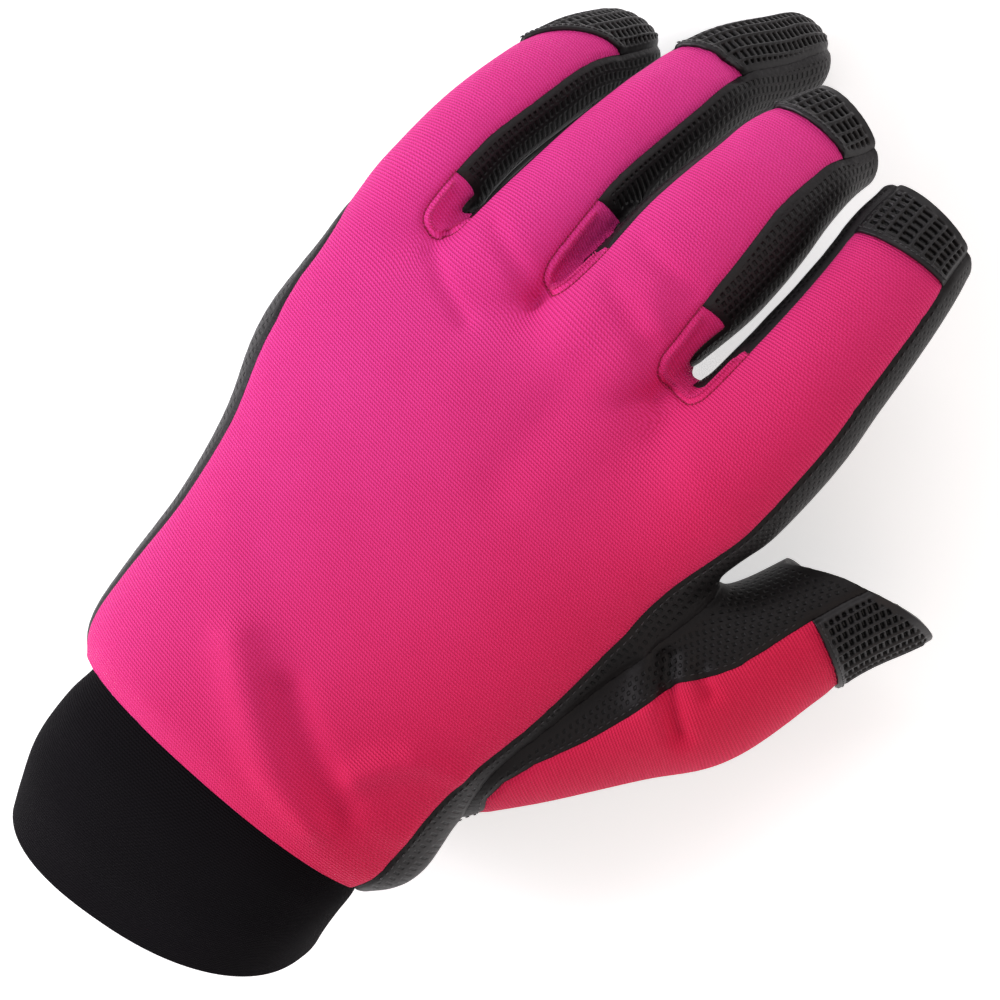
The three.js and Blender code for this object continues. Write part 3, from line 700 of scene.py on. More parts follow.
class Cloth:
    """Points, triangles, one label for each triangle, and the fields at each point."""

    def __init__(self, points, tris):
        self.points = points
        self.tris = tris
        self.label = np.zeros(len(tris), int)
        fields = seam_fields(points)
        self.names = list(fields)
        self.fields = np.stack([fields[name] for name in self.names], axis=1)

    def field(self, name):
        return self.fields[:, self.names.index(name)]

    def edges(self):
        """The edges, and which three of them each triangle has, opposite its corners 2, 0 and 1."""
        pairs = np.sort(self.tris[:, [0, 1, 1, 2, 2, 0]].reshape(-1, 2), axis=1)
        edges, which = np.unique(pairs, axis=0, return_inverse=True)
        return edges, which.reshape(-1, 3)

    def split(self, edges, which, chosen, shares):
        """Puts a new point on each chosen edge and divides the triangles round it."""
        number = np.full(len(edges), -1)
        number[chosen] = len(self.points) + np.arange(chosen.sum())
        one, two = edges[chosen].T
        share = shares[chosen][:, None]
        self.points = np.vstack([self.points, self.points[one] * (1 - share) + self.points[two] * share])
        self.fields = np.vstack([self.fields, self.fields[one] * (1 - share) + self.fields[two] * share])
        middle = number[which]
        count = (middle >= 0).sum(1)
        tris, label = [self.tris[count == 0]], [self.label[count == 0]]
        for k in range(3):
            a, b, c = (np.roll(np.arange(3), -k))
            only = (count == 1) & (middle[:, k] >= 0)
            t, m, l = self.tris[only], middle[only, k], self.label[only]
            tris += [np.c_[t[:, a], m, t[:, c]], np.c_[m, t[:, b], t[:, c]]]
            label += [l, l]
            both = (count == 2) & (middle[:, k] < 0)
            t, l = self.tris[both], self.label[both]
            m, n = middle[both, b], middle[both, c]
            tris += [np.c_[m, t[:, c], n], np.c_[t[:, a], t[:, b], m], np.c_[t[:, a], m, n]]
            label += [l, l, l]
        full = count == 3
        t, m, l = self.tris[full], middle[full], self.label[full]
        tris += [np.c_[t[:, 0], m[:, 0], m[:, 2]], np.c_[t[:, 1], m[:, 1], m[:, 0]],
                 np.c_[t[:, 2], m[:, 2], m[:, 1]], m]
        label += [l, l, l, l]
        self.tris = np.vstack(tris)
        self.label = np.concatenate(label)

    def cut(self, label, name, new_label):
        """Triangles with the label that lie where the field is positive get the new label."""
        column = self.names.index(name)
        edges, which = self.edges()
        inside = np.zeros(len(edges), bool)
        inside[which[self.label == label]] = True
        one, two = edges.T
        low, high = self.fields[one, column], self.fields[two, column]
        crossing = inside & (low * high < 0)
        share = np.where(crossing, low / np.where(crossing, low - high, 1), 0)
        for end, other, close in ((one, two, share < SNAP_SHARE), (two, one, share > 1 - SNAP_SHARE)):
            move = crossing & close
            s = np.abs((share if end is one else 1 - share)[move])[:, None]
            self.points[end[move]] += (self.points[other[move]] - self.points[end[move]]) * s
            self.fields[end[move], column] = 0
        low, high = self.fields[one, column], self.fields[two, column]
        crossing = inside & (low * high < 0)
        share = np.where(crossing, low / np.where(crossing, low - high, 1), 0)
        self.split(edges, which, crossing, share)
        self.fields[len(self.points) - crossing.sum():, column] = 0
        chosen = self.label == label
        value = self.fields[self.tris, column]
        positive = np.take_along_axis(value, np.abs(value).argmax(1)[:, None], 1)[:, 0] > 0
        self.label[chosen & positive] = new_label

    def drop(self, label):
        keep = self.label != label
        self.tris, self.label = self.tris[keep], self.label[keep]

# %% [markdown]
# ## The panels of the glove
# The cuts are made in a maker's order: first the open ends, then the thumb, then the back with its caps, then
# the palm, and last the gussets, which leaves the side strips of the fingers.

# %% Cut out the panels
WASTE = 99
SIDES, THUMB_PALM, THUMB_BACK, THUMB_CAP, BACK, CAPS, PALM, GUSSETS = range(8)
cloth = Cloth(skin_points, skin_tris)
for end in ("opening", "hem"):
    cloth.cut(SIDES, end, WASTE)
    cloth.drop(WASTE)
cloth.cut(SIDES, "thumb", THUMB_PALM)
cloth.cut(THUMB_PALM, "thumb_back", THUMB_BACK)
cloth.cut(THUMB_BACK, "thumb_cap", THUMB_CAP)
cloth.cut(SIDES, "back", BACK)
cloth.cut(BACK, "cap", CAPS)
cloth.cut(SIDES, "under", PALM)
cloth.cut(SIDES, "gusset", GUSSETS)

# Each label gives one or more panels, told apart by their finger and its side.
PANELS = ["back_panel", "palm_panel", "thumb_back", "thumb_palm", "thumb_cap"]
PANELS += [f"{name}_cap" for name in FINGER_ORDER]
PANELS += [f"{one}_{two}_gusset" for one, two in zip(FINGER_ORDER, FINGER_ORDER[1:])]
PANELS += ["ulnar_side_strip", "pinky_inner_side", "ring_outer_side", "ring_inner_side", "middle_outer_side",
           "middle_inner_side", "index_outer_side", "radial_side_strip"]
WHOLE_LABELS = {BACK: "back_panel", PALM: "palm_panel", THUMB_BACK: "thumb_back", THUMB_PALM: "thumb_palm",
                THUMB_CAP: "thumb_cap"}
FIRST_CAP, FIRST_GUSSET, FIRST_SIDE = (PANELS.index(n) for n in
                                       ("pinky_cap", "pinky_ring_gusset", "ulnar_side_strip"))


def name_panels(cloth):
    """The panel of each triangle, as its place in the list of panels."""
    panel = np.full(len(cloth.tris), -1)
    for label, name in WHOLE_LABELS.items():
        panel[cloth.label == label] = PANELS.index(name)
    rest = panel < 0
    fields = seam_fields(cloth.points[cloth.tris[rest]].mean(1))
    finger, side = fields["finger"].astype(int), (fields["inner"] > 0).astype(int)
    label = cloth.label[rest]
    panel[rest] = np.where(label == CAPS, FIRST_CAP + finger, np.where(
        label == GUSSETS, FIRST_GUSSET + np.clip(finger + side - 1, 0, 2), FIRST_SIDE + 2 * finger + side))
    return panel


def islands(tris, number):
    """A number for the connected patch that each triangle is in."""
    patch = np.arange(number)
    one, two = edges_of(tris).T
    while True:
        low = np.minimum(patch[one], patch[two])
        before = patch.copy()
        np.minimum.at(patch, one, low)
        np.minimum.at(patch, two, low)
        patch = patch[patch]
        if (patch == before).all():
            return patch[tris[:, 0]]


def tidy_panels(cloth, panel):
    """Small loose patches of a panel join the panel that they touch most."""
    for k in range(len(PANELS)):
        mine = np.flatnonzero(panel == k)
        patch = islands(cloth.tris[mine], len(cloth.points))
        names, size = np.unique(patch, return_counts=True)
        for name in names[size < size.max()]:
            lost = mine[patch == name]
            touching = np.isin(cloth.tris, np.unique(cloth.tris[lost])).any(1) & (panel != k)
            if touching.any():
                panel[lost] = np.bincount(panel[touching]).argmax()
    return panel


cloth.label = tidy_panels(cloth, name_panels(cloth))
for k, name in enumerate(PANELS):
    print(name, "triangles:", int((cloth.label == k).sum()))

# %% [markdown]
# ## Finer cloth along the seams
# A seam's groove is only a millimetre or so wide, so the triangles next to a seam are divided once more. The
# caps carry the weave of slits as real relief, so they are divided twice.

# %% Refine near seams
SEAM_REACH = 2.1
SEAM_EDGE = 0.5
CAP_EDGES = (0.45, 0.26)
MARK_REACH = 6.0


def seam_edges(cloth):
    """The edges between two panels with the two panels, and the edges where the cloth ends."""
    edges, which = cloth.edges()
    count = np.bincount(which.ravel(), minlength=len(edges))
    order = np.argsort(which.ravel(), kind="stable")
    sorted_label = np.repeat(cloth.label, 3)[order]
    start = np.r_[0, np.cumsum(count)[:-1]]
    first = sorted_label[start]
    second = np.where(count > 1, sorted_label[np.minimum(start + 1, len(sorted_label) - 1)], -1)
    seam = (count == 2) & (first != second)
    return edges[seam], np.sort(np.c_[first, second][seam], axis=1), edges[count == 1]


def distance_to(points, ends, limit=MARK_REACH):
    """How far each point is from the middles and ends of some edges, up to a limit."""
    far = np.full(len(points), limit)
    if len(ends) == 0:
        return far
    marks = np.vstack([cloth.points[ends[:, 0]], cloth.points[ends[:, 1]], cloth.points[ends].mean(1)])
    tree = KDTree(len(marks))
    for k, mark in enumerate(marks):
        tree.insert(mark, k)
    tree.balance()
    low, high = marks.min(0) - limit, marks.max(0) + limit
    near = np.flatnonzero(((points > low) & (points < high)).all(1))
    far[near] = [min(tree.find(point)[2], limit) for point in points[near]]
    return far


def refine(cloth, wanted, longest):
    """Splits the long edges whose two ends are both wanted."""
    edges, which = cloth.edges()
    one, two = edges.T
    length = np.linalg.norm(cloth.points[one] - cloth.points[two], axis=1)
    cloth.split(edges, which, wanted[one] & wanted[two] & (length > longest), np.full(len(edges), 0.5))


sewn, sewn_panels, ends = seam_edges(cloth)
refine(cloth, distance_to(cloth.points, np.vstack([sewn, ends])) < SEAM_REACH, SEAM_EDGE)
for longest in CAP_EDGES:
    on_cap = np.zeros(len(cloth.points), bool)
    is_cap = (cloth.label >= PANELS.index("thumb_cap")) & (cloth.label < FIRST_GUSSET)
    on_cap[np.unique(cloth.tris[is_cap])] = True
    refine(cloth, on_cap, longest)
sewn, sewn_panels, ends = seam_edges(cloth)
print("triangles of the whole cloth:", len(cloth.tris))

# %% [markdown]
# ## Folds, grooves and lips
# Worn cloth is never smooth. The folds that the hand makes are a few chosen lines on the back, each with a
# height and a width. Along a seam the cloth is pulled in, the rim of a cap stands proud, and a gusset is
# rolled outwards round its crotch. All of it moves the points along the skin's own directions.

# %% Shape the cloth
# Each fold: its height and width in mm, and the line that it follows on the back of the hand.
BACK_FOLDS = [
    (0.6, 6.0, [(-28, 33), (-24.3, 29.1), (-12.3, 20.6), (-3.2, 14.4)]),
    (2.2, 4.2, [(-9, 18), (-3.2, 14.4), (4.7, 9.5), (13.3, 5.5), (22.6, 3.4)]),
    (-2.1, 3.4, [(3.5, 18.3), (9.4, 15.4), (17.1, 11.7), (25.6, 8.8)]),
    (1.8, 2.8, [(22.9, 15.4), (25.1, 20.1), (27.6, 23.9)]),
    (1.0, 2.3, [(30.5, 26), (34.8, 27)]),
    (1.0, 3.2, [(29.2, 11.1), (34.3, 12.4)]),
    (-0.8, 1.8, [(-34.6, 92.7), (-28.2, 90), (-19.7, 87.9)]),
    (-0.8, 2.1, [(-28.8, 103.5), (-20.5, 101.3), (-15, 99)]),
    (-0.9, 2.6, [(-4.2, 110.6), (1.9, 109), (8, 107.3)]),
    (-0.7, 2.2, [(-5.7, 119.6), (-0.6, 119.4), (6.8, 119.5)]),
    (0.5, 2.5, [(1.8, 114.9), (6.9, 111.1)]),
    (-0.8, 4.6, [(2.3, 103.3), (2.6, 93.9), (4, 83.1), (5.5, 72.3)]),
    (0.6, 6.0, [(13, 98), (13, 88), (12, 76)]),
    (0.5, 6.0, [(-15, 100), (-13, 88), (-11, 76)]),
    (-2.2, 1.9, [(47, 68), (50, 65), (54, 62), (58, 59)]),
    (-1.3, 1.6, [(52.8, 70.8), (57, 68.5)]),
    (1.2, 3.4, [(44, 66), (49.7, 60)]),
    (-0.9, 1.5, [(-24.5, 153.9), (-20.4, 152.9)]),
]
# A fold fades where the back turns down to the side, and towards the hem.
FOLD_FACING = (0.1, 0.7)
FOLD_START = (-2, 5)

GROOVE_DEPTH = 0.35
GROOVE_WIDTH = 0.7
RIM_PROUD = 0.6
RIM_WIDTH = 1.1
RIM_MIDDLE = 0.5
RIM_START = (0, 1.5)
CAP_PROUD = 0.3
CAP_START = (0, 2.0)
LIP_PROUD = 0.8
LIP_WIDTH = 2.1
LIP_START = (0.3, 3.5)

# The back is pulled in under a cap's rim: how deep and how wide
TUCK_DEPTH = 0.3
TUCK_WIDTH = 1.5


def distance_to_line(places, line):
    """How far places in a plane are from a line of short straight runs."""
    line = np.asarray(line, float)
    best = np.full(len(places), np.inf)
    for start, end in zip(line, line[1:]):
        run = end - start
        share = np.clip(((places - start) @ run) / (run @ run), 0, 1)
        best = np.minimum(best, np.linalg.norm(places - start - share[:, None] * run, axis=1))
    return best


def fold_heights(points, normals):
    """How far the folds lift each point of the back."""
    lift = np.zeros(len(points))
    for height, width, line in BACK_FOLDS:
        lift += height * np.exp(-(distance_to_line(points[:, :2], line) / width) ** 2)
    return lift * rise(normals[:, 2], *FOLD_FACING) * rise(points[:, 1], *FOLD_START)


normals = point_normals(cloth.points, cloth.tris)
cloth.points = cloth.points + normals * fold_heights(cloth.points, normals)[:, None]
normals = point_normals(cloth.points, cloth.tris)

is_pink = np.array([name in ("back_panel", "thumb_back") for name in PANELS])
is_gusset = np.array(["gusset" in name for name in PANELS])
is_cap = np.array([name.endswith("cap") for name in PANELS])
rim_seam = (is_cap[sewn_panels] ^ is_pink[sewn_panels]).all(1) & (is_cap[sewn_panels].any(1))
lip_seam = (is_gusset[sewn_panels].any(1)) & (is_pink[sewn_panels].any(1))
to_rim = distance_to(cloth.points, sewn[rim_seam])
to_lip = distance_to(cloth.points, sewn[lip_seam])
to_plain = distance_to(cloth.points, sewn[~rim_seam & ~lip_seam])
to_gusset_top = cloth.field("gusset_top")
to_end = distance_to(cloth.points, ends)


def bump_at(distance, middle, width):
    return np.exp(-((distance - middle) / width) ** 2)


def seam_lift(name, used):
    """How far a panel's points stand proud of the skin because of its seams."""
    groove = -GROOVE_DEPTH * bump_at(np.minimum(to_plain, to_lip)[used], 0, GROOVE_WIDTH)
    if name.endswith("cap"):
        proud = CAP_PROUD * rise(to_plain[used], *CAP_START)
        rim = (RIM_PROUD - CAP_PROUD) * bump_at(to_rim[used], RIM_MIDDLE, RIM_WIDTH)
        return groove + proud + rim * rise(to_plain[used], *RIM_START)
    if "gusset" in name:
        lip = LIP_PROUD * bump_at(to_lip[used], 0.5 * LIP_WIDTH, 0.42 * LIP_WIDTH)
        return groove + lip * rise(to_gusset_top[used], *LIP_START)
    return groove - TUCK_DEPTH * bump_at(to_rim[used], 0, TUCK_WIDTH)


# %% [markdown]
# ## Walls
# A panel is a sheet until it gets a wall: its points are copied inwards along their normals, and the two
# sheets are joined round every edge, so each panel is a closed body. The place on the cloth, in millimetres,
# is kept as an attribute, which lets the knit and the weave follow the panel. So is the distance to the
# nearest seam.

# %% Give each panel its wall
# The middle of the cuff's mouth is the origin of the CAD model: where the middle of the hem lies from it, in
# mm
origin = np.array([-3.725, 32.149, 15.131])


def border_edges(tris):
    """The edges that one triangle has, in its direction."""
    pairs = tris[:, [0, 1, 1, 2, 2, 0]].reshape(-1, 2)
    edges, which, count = np.unique(np.sort(pairs, axis=1), axis=0, return_inverse=True, return_counts=True)
    return pairs[count[which.ravel()] == 1]


def keep_place(mesh, name, values):
    """Stores three numbers for each point of a mesh."""
    attribute = mesh.attributes.new(name, "FLOAT_VECTOR", "POINT")
    attribute.data.foreach_set("vector", np.ascontiguousarray(values, np.float32).ravel())


def walled_panel(name):
    """A panel with its wall, in metres where the frame has it."""
    tris = cloth.tris[cloth.label == PANELS.index(name)]
    used, tris = np.unique(tris, return_inverse=True)
    tris = tris.reshape(-1, 3)
    outer = cloth.points[used] + normals[used] * seam_lift(name, used)[:, None]
    inner = outer - normals[used] * WALL
    rim = border_edges(tris)
    count = len(used)
    side = np.vstack([np.c_[rim[:, 1], rim[:, 0], rim[:, 0] + count],
                      np.c_[rim[:, 1], rim[:, 0] + count, rim[:, 1] + count]])
    faces = np.vstack([tris, tris[:, ::-1] + count, side])
    panel = mesh_object(name + "_cloth", (np.vstack([outer, inner]) + origin) / 1000, faces)
    across = cloth.field("belly_u" if name in ("palm_panel", "thumb_palm") else "u")[used]
    seam = np.minimum(np.minimum(to_plain, to_lip), np.minimum(to_rim, to_end))[used]
    place = np.c_[across, cloth.field("v")[used], seam]
    keep_place(panel.data, "cloth_mm", np.vstack([place, place]))
    outside = np.zeros((2 * count, 3))
    outside[:count, 0] = 1
    keep_place(panel.data, "outside", outside)
    panel.data.shade_smooth()
    return panel


# %% [markdown]
# ## The cuff
# The cuff is a knitted tube that is tucked into the hem and bends down with the wrist. It is lofted through a
# few sections, and its inner and outer face meet in a rounded mouth.

# %% The cuff's path
CUFF_SIDES = 120
CUFF_WALL = 1.5
CUFF_STEPS = 40
HEM_WALL = 1.5
MOUTH_TURNS = np.radians([30, 60, 90, 120, 150])


def cuff_direction(bend):
    return np.array([0, -math.cos(math.radians(bend)), -math.sin(math.radians(bend))])


def cuff_path():
    """The middle, side, up and half sizes of each of the cuff's sections below the hem."""
    start = palm.at(palm.centre, np.array([PALM_BEFORE / RING_STEP]))[0]
    middle, last = start, dict(along=0, bend=0, sway=0)
    sections = []
    for along, bend, sway, width, depth, turn, square in CUFF_ROWS:
        bend = bend * CUFF_DROP
        step = cuff_direction((last["bend"] + bend) / 2) * (along - last["along"]) * CUFF_LENGTH
        step[0] = (sway - last["sway"]) * CUFF_WIDTH
        middle = middle + step
        along_now = cuff_direction(bend)
        up = np.cross(along_now, [1, 0, 0])
        turn = math.radians(turn)
        side = np.array([1, 0, 0]) * math.cos(turn) + np.cross(up, [1, 0, 0]) * math.sin(turn)
        sections.append((middle, side, up, (width * CUFF_WIDTH / 2, depth * CUFF_DEPTH / 2), square))
        last = dict(along=along, bend=bend, sway=sway)
    return sections


cuff_sections = cuff_path()
print("cuff mouth in mm:", (cuff_sections[-1][0] + origin).round(1))


def superellipse(angles, square):
    power = 2 / square
    return (np.sign(np.sin(angles)) * np.abs(np.sin(angles)) ** power,
            np.sign(np.cos(angles)) * np.abs(np.cos(angles)) ** power)


def cuff_rings(grow):
    """Smooth rings from the tucked end to the mouth."""
    angles = np.linspace(0, 2 * math.pi, CUFF_SIDES, endpoint=False)

    def palm_ring(travel, shrink):
        place = (travel - palm.travel[0]) / RING_STEP
        centre = palm.at(palm.centre, np.array([place]))
        ring = palm.ring(place, angles)
        return ring + unit(ring - centre) * shrink

    in_hem = grow - HEM_WALL - HEM_GAP
    rings = [palm_ring(CUFF_OVERLAP, in_hem - CUFF_SLACK), palm_ring(0.0, in_hem)]
    for middle, side, up, half, square in cuff_sections:
        lateral, dorsal = superellipse(angles, square)
        rings.append(middle + side * ((half[0] + grow) * lateral)[:, None]
                     + up * ((half[1] + grow) * dorsal)[:, None])
    return np.stack(rings)


def make_cuff():
    """The cuff as a closed tube wall with a rounded mouth."""
    outer_rows, inner_rows = cuff_rings(0), cuff_rings(-CUFF_WALL)
    count = len(outer_rows)
    places = np.linspace(0, count - 1, CUFF_STEPS)

    def dense(rows):
        flat = rows.transpose(1, 0, 2)
        return np.stack([smooth_run(line, places) for line in flat], axis=1)

    outer, inner = dense(outer_rows), dense(inner_rows)
    middle = (outer[-1] + inner[-1]) / 2
    half = (outer[-1] - inner[-1]) / 2
    way = unit(outer[-1] - outer[-2]) * CUFF_WALL / 2
    lip = [middle + half * math.cos(t) + way * math.sin(t) for t in MOUTH_TURNS]
    rings = np.concatenate([outer, np.stack(lip), inner[::-1]])
    total = len(rings)
    faces = []
    for r in range(total):
        below = (r + 1) % total
        for k in range(CUFF_SIDES):
            n = (k + 1) % CUFF_SIDES
            faces.append((r * CUFF_SIDES + k, below * CUFF_SIDES + k,
                          below * CUFF_SIDES + n, r * CUFF_SIDES + n))
    made = mesh_object("cuff_knit", (rings.reshape(-1, 3) + origin) / 1000, faces)
    travel = np.r_[0, np.cumsum(np.linalg.norm(np.diff(rings[:, 0], axis=0), axis=1))]
    angles = np.linspace(0, 2 * math.pi, CUFF_SIDES, endpoint=False)
    girth = ((angles + math.pi) % (2 * math.pi) - math.pi) * (CUFF_WIDTH + CUFF_DEPTH) / 4
    keep_place(made.data, "cloth_mm", np.c_[np.tile(girth, total), np.repeat(travel, CUFF_SIDES),
                                            np.full(total * CUFF_SIDES, MARK_REACH)])
    made.data.shade_smooth()
    return made


pieces = {name: walled_panel(name) for name in PANELS}
pieces["cuff"] = make_cuff()


def count_triangles(mesh):
    return sum(len(face.vertices) - 2 for face in mesh.polygons)


for name, piece in pieces.items():
    print(name, "triangles:", count_triangles(piece.data))

# %% [markdown]
# ## Materials
# Every material is made of nodes that read the place on the cloth, so a rib of the knit or a slit of the
# weave has its true size in millimetres and turns with its panel.

# %% Node helpers


def new_material(name, colour, roughness):
    material = bpy.data.materials.new(name)
    material.use_nodes = True
    material.diffuse_color = (*colour, 1)
    shader = material.node_tree.nodes["Principled BSDF"]
    shader.inputs["Base Color"].default_value = (*colour, 1)
    shader.inputs["Roughness"].default_value = roughness
    return material, material.node_tree, shader


def place(tree, kind, *values, **settings):
    """A node with its settings, whose inputs are numbers, or links to other nodes."""
    node = tree.nodes.new(kind)
    for key, value in settings.items():
        setattr(node, key, value)
    for socket, value in zip(node.inputs, values):
        if value is None:
            continue
        if isinstance(value, bpy.types.NodeSocket):
            tree.links.new(value, socket)
        else:
            socket.default_value = value
    return node.outputs[0]


def math_node(tree, operation, *values):
    return place(tree, "ShaderNodeMath", *values, operation=operation)


def cloth_place(tree):
    """The place on the cloth: across and along in mm, and how far the next seam is."""
    reader = tree.nodes.new("ShaderNodeAttribute")
    reader.attribute_name = "cloth_mm"
    parts = tree.nodes.new("ShaderNodeSeparateXYZ")
    tree.links.new(reader.outputs["Vector"], parts.inputs[0])
    return parts.outputs[0], parts.outputs[1], parts.outputs[2]


def object_noise(tree, scale, detail=2.0):
    """Soft noise in the space of the object; scale counts swells in a metre."""
    place_node = tree.nodes.new("ShaderNodeTexCoord")
    noise = tree.nodes.new("ShaderNodeTexNoise")
    noise.inputs["Scale"].default_value = scale
    noise.inputs["Detail"].default_value = detail
    tree.links.new(place_node.outputs["Object"], noise.inputs["Vector"])
    return noise.outputs[0]


def mix_colour(tree, share, one, two):
    mixer = tree.nodes.new("ShaderNodeMix")
    mixer.data_type = "RGBA"
    for socket, value in ((mixer.inputs[0], share), (mixer.inputs[6], one), (mixer.inputs[7], two)):
        if isinstance(value, bpy.types.NodeSocket):
            tree.links.new(value, socket)
        else:
            socket.default_value = value
    return mixer.outputs[2]


def add_bump(tree, shader, height, distance, strength=1.0):
    bump = tree.nodes.new("ShaderNodeBump")
    bump.inputs["Distance"].default_value = distance
    bump.inputs["Strength"].default_value = strength
    tree.links.new(height, bump.inputs["Height"])
    tree.links.new(bump.outputs[0], shader.inputs["Normal"])


# %% [markdown]
# ### Stretch knit
# The knit has fine ribs across the hand, just over half a millimetre apart, each a row of slanted loops.
# Between two ribs the yarn lies in shade, so the colour is deeper there. A soft sheen stands for the fuzz of
# the yarn. The pink is not one colour either, because shade is painted into it: a cool pink on the little
# finger's side, where the light falls, drifts to a deep red pink at the thumb, which lies in shade.

# %% Knit material
RIB_PITCH = 0.56
LOOP_PITCH = 0.62

# How far the ribs wander and how far a loop leans out of its rib, in mm
RIB_WANDER = 0.25
LOOP_LEAN = 0.045

# How much the ribs, the loops and the slow swell of the cloth each add to the light colour
RIB_SHADE, LOOP_SHADE, SWELL_SHADE = 0.55, 0.25, 0.35
FUZZ_HEIGHT = 0.35

# How the painted shade drifts over the glove: a start, and its change for each metre along and across
PAINTED_SHADE_START = 0.3265
PAINTED_SHADE_ALONG = 2.2
PAINTED_SHADE_ACROSS = -8.8


def painted_shade_drift(tree):
    """Painted shade over the glove: 1 on the lit, little finger's side of the fingers and 0 at the shaded,
    thumb's side of the wrist.
    """
    place_node = tree.nodes.new("ShaderNodeTexCoord")
    parts = tree.nodes.new("ShaderNodeSeparateXYZ")
    tree.links.new(place_node.outputs["Object"], parts.inputs[0])
    along = math_node(tree, "MULTIPLY_ADD", parts.outputs[1], PAINTED_SHADE_ALONG, PAINTED_SHADE_START)
    share = math_node(tree, "MULTIPLY_ADD", parts.outputs[0], PAINTED_SHADE_ACROSS, along)
    return place(tree, "ShaderNodeMapRange", share, 0.0, 1.0, 0.0, 1.0, interpolation_type="SMOOTHSTEP")


def knit_material(name, lit_side, shaded_side, roughness, shine, sheen, rib_depth):
    """The first two: the light and the deep colour of the yarn where it is lit and where shade is painted on
    it.
    """
    light = lit_side[0]
    material, tree, shader = new_material(name, light, roughness)
    across, along, _ = cloth_place(tree)
    swell = object_noise(tree, 55, 3)
    wobble = math_node(tree, "MULTIPLY", math_node(tree, "SUBTRACT", swell, 0.5), RIB_WANDER)
    loops = math_node(tree, "SINE", math_node(tree, "MULTIPLY", across, 2 * math.pi / LOOP_PITCH))
    lean = math_node(tree, "MULTIPLY_ADD", loops, LOOP_LEAN, math_node(tree, "ADD", along, wobble))
    wave = math_node(tree, "SINE", math_node(tree, "MULTIPLY", lean, 2 * math.pi / RIB_PITCH))
    rib = math_node(tree, "MULTIPLY_ADD", wave, 0.5, 0.5)
    slanted = math_node(tree, "MULTIPLY_ADD", along, math.pi / RIB_PITCH, math_node(
        tree, "MULTIPLY", across, 2 * math.pi / LOOP_PITCH))
    dash = math_node(tree, "MULTIPLY_ADD", math_node(tree, "SINE", slanted), 0.5, 0.5)
    fuzz = object_noise(tree, 2600, 2)
    height = math_node(tree, "MULTIPLY_ADD", fuzz, FUZZ_HEIGHT, rib)
    add_bump(tree, shader, height, rib_depth / 1000)
    shade = math_node(tree, "MULTIPLY_ADD", rib, RIB_SHADE, math_node(
        tree, "MULTIPLY_ADD", dash, LOOP_SHADE, math_node(tree, "MULTIPLY", swell, SWELL_SHADE)))
    share = painted_shade_drift(tree)
    # The yarn's colour runs from its painted-shade end to its lit end
    pale, dark = (mix_colour(tree, share, (*shaded_side[k], 1), (*lit_side[k], 1)) for k in (0, 1))
    tree.links.new(mix_colour(tree, shade, dark, pale), shader.inputs["Base Color"])
    shader.inputs["Sheen Weight"].default_value = sheen
    shader.inputs["Sheen Roughness"].default_value = 0.45
    shader.inputs["Sheen Tint"].default_value = (*[min(1, c * 1.1 + 0.1) for c in light], 1)
    shader.inputs["Specular IOR Level"].default_value = shine
    return material


# Each yarn: its colours at the lit end and at the painted-shade end, each a light and a deep one
PINK_LIT_SIDE = ((0.86, 0.055, 0.37), (0.62, 0.011, 0.14))
PINK_SHADED_SIDE = ((0.76, 0.016, 0.085), (0.5, 0.004, 0.026))
BLACK_YARN = ((0.007, 0.006, 0.0075), (0.0022, 0.002, 0.0025))
pink_knit = knit_material("pink_stretch_knit", PINK_LIT_SIDE, PINK_SHADED_SIDE, 0.75, 0.2, 0.1, 0.16)
black_knit = knit_material("black_cuff_knit", BLACK_YARN, BLACK_YARN, 0.9, 0.05, 0.0, 0.12)

# %% [markdown]
# ### Slit weave and perforated cloth
# The caps and the palm are a coated cloth with short slits across, in rows along the finger. Every second row
# is shifted by half a slit. The slits of the caps are real relief. On the strips and the large palm they stay
# in the material. Everywhere they are painted much darker than the cloth: painted shade in the slits.

# %% Slit weave material
SLIT_SOFT = 0.26
RIDGE_INSIDE, RIDGE_OUTSIDE = 0.1, -0.38

# Pitch of the rows, pitch of the slits in a row, length and width of a slit, in mm
CAP_SLITS = (2.15, 1.28, 1.4, 0.62)
SIDE_SLITS = (1.9, 1.28, 1.22, 0.6)
DIMPLES = (1.3, 1.4, 0.66, 0.56)

# Along a seam the cloth is plain: where the slits set in, in mm from it, in a material and in relief
SLITS_FROM_SEAM = (1.3, 1.7)
RELIEF_FROM_SEAM = (1.2, 1.9)


def slit_shares(tree, across, along, row_pitch, slit_pitch, slit_length, slit_width):
    """1 in the middle of a slit and 0 round it, and 1 on the ridge between two rows of slits."""
    row = math_node(tree, "DIVIDE", across, row_pitch)
    odd = math_node(tree, "MODULO", math_node(tree, "ABSOLUTE", math_node(tree, "FLOOR", row)), 2.0)
    step = math_node(tree, "MULTIPLY_ADD", odd, 0.5, math_node(tree, "DIVIDE", along, slit_pitch))
    shares = []
    for count, pitch, size in ((row, row_pitch, slit_length), (step, slit_pitch, slit_width)):
        middle = math_node(tree, "ABSOLUTE", math_node(
            tree, "SUBTRACT", math_node(tree, "FRACT", count), 0.5))
        off = math_node(tree, "MULTIPLY", middle, pitch)
        inside = math_node(tree, "SUBTRACT", math_node(tree, "MULTIPLY", size, 0.5), off)
        shares.append(place(tree, "ShaderNodeMapRange", inside, -SLIT_SOFT / 2, SLIT_SOFT / 2, 0.0, 1.0,
                            interpolation_type="SMOOTHSTEP"))
        if size is slit_length:
            ridge = place(tree, "ShaderNodeMapRange", inside, RIDGE_INSIDE, RIDGE_OUTSIDE, 0.0, 1.0,
                          interpolation_type="SMOOTHSTEP")
    return math_node(tree, "MULTIPLY", *shares), ridge


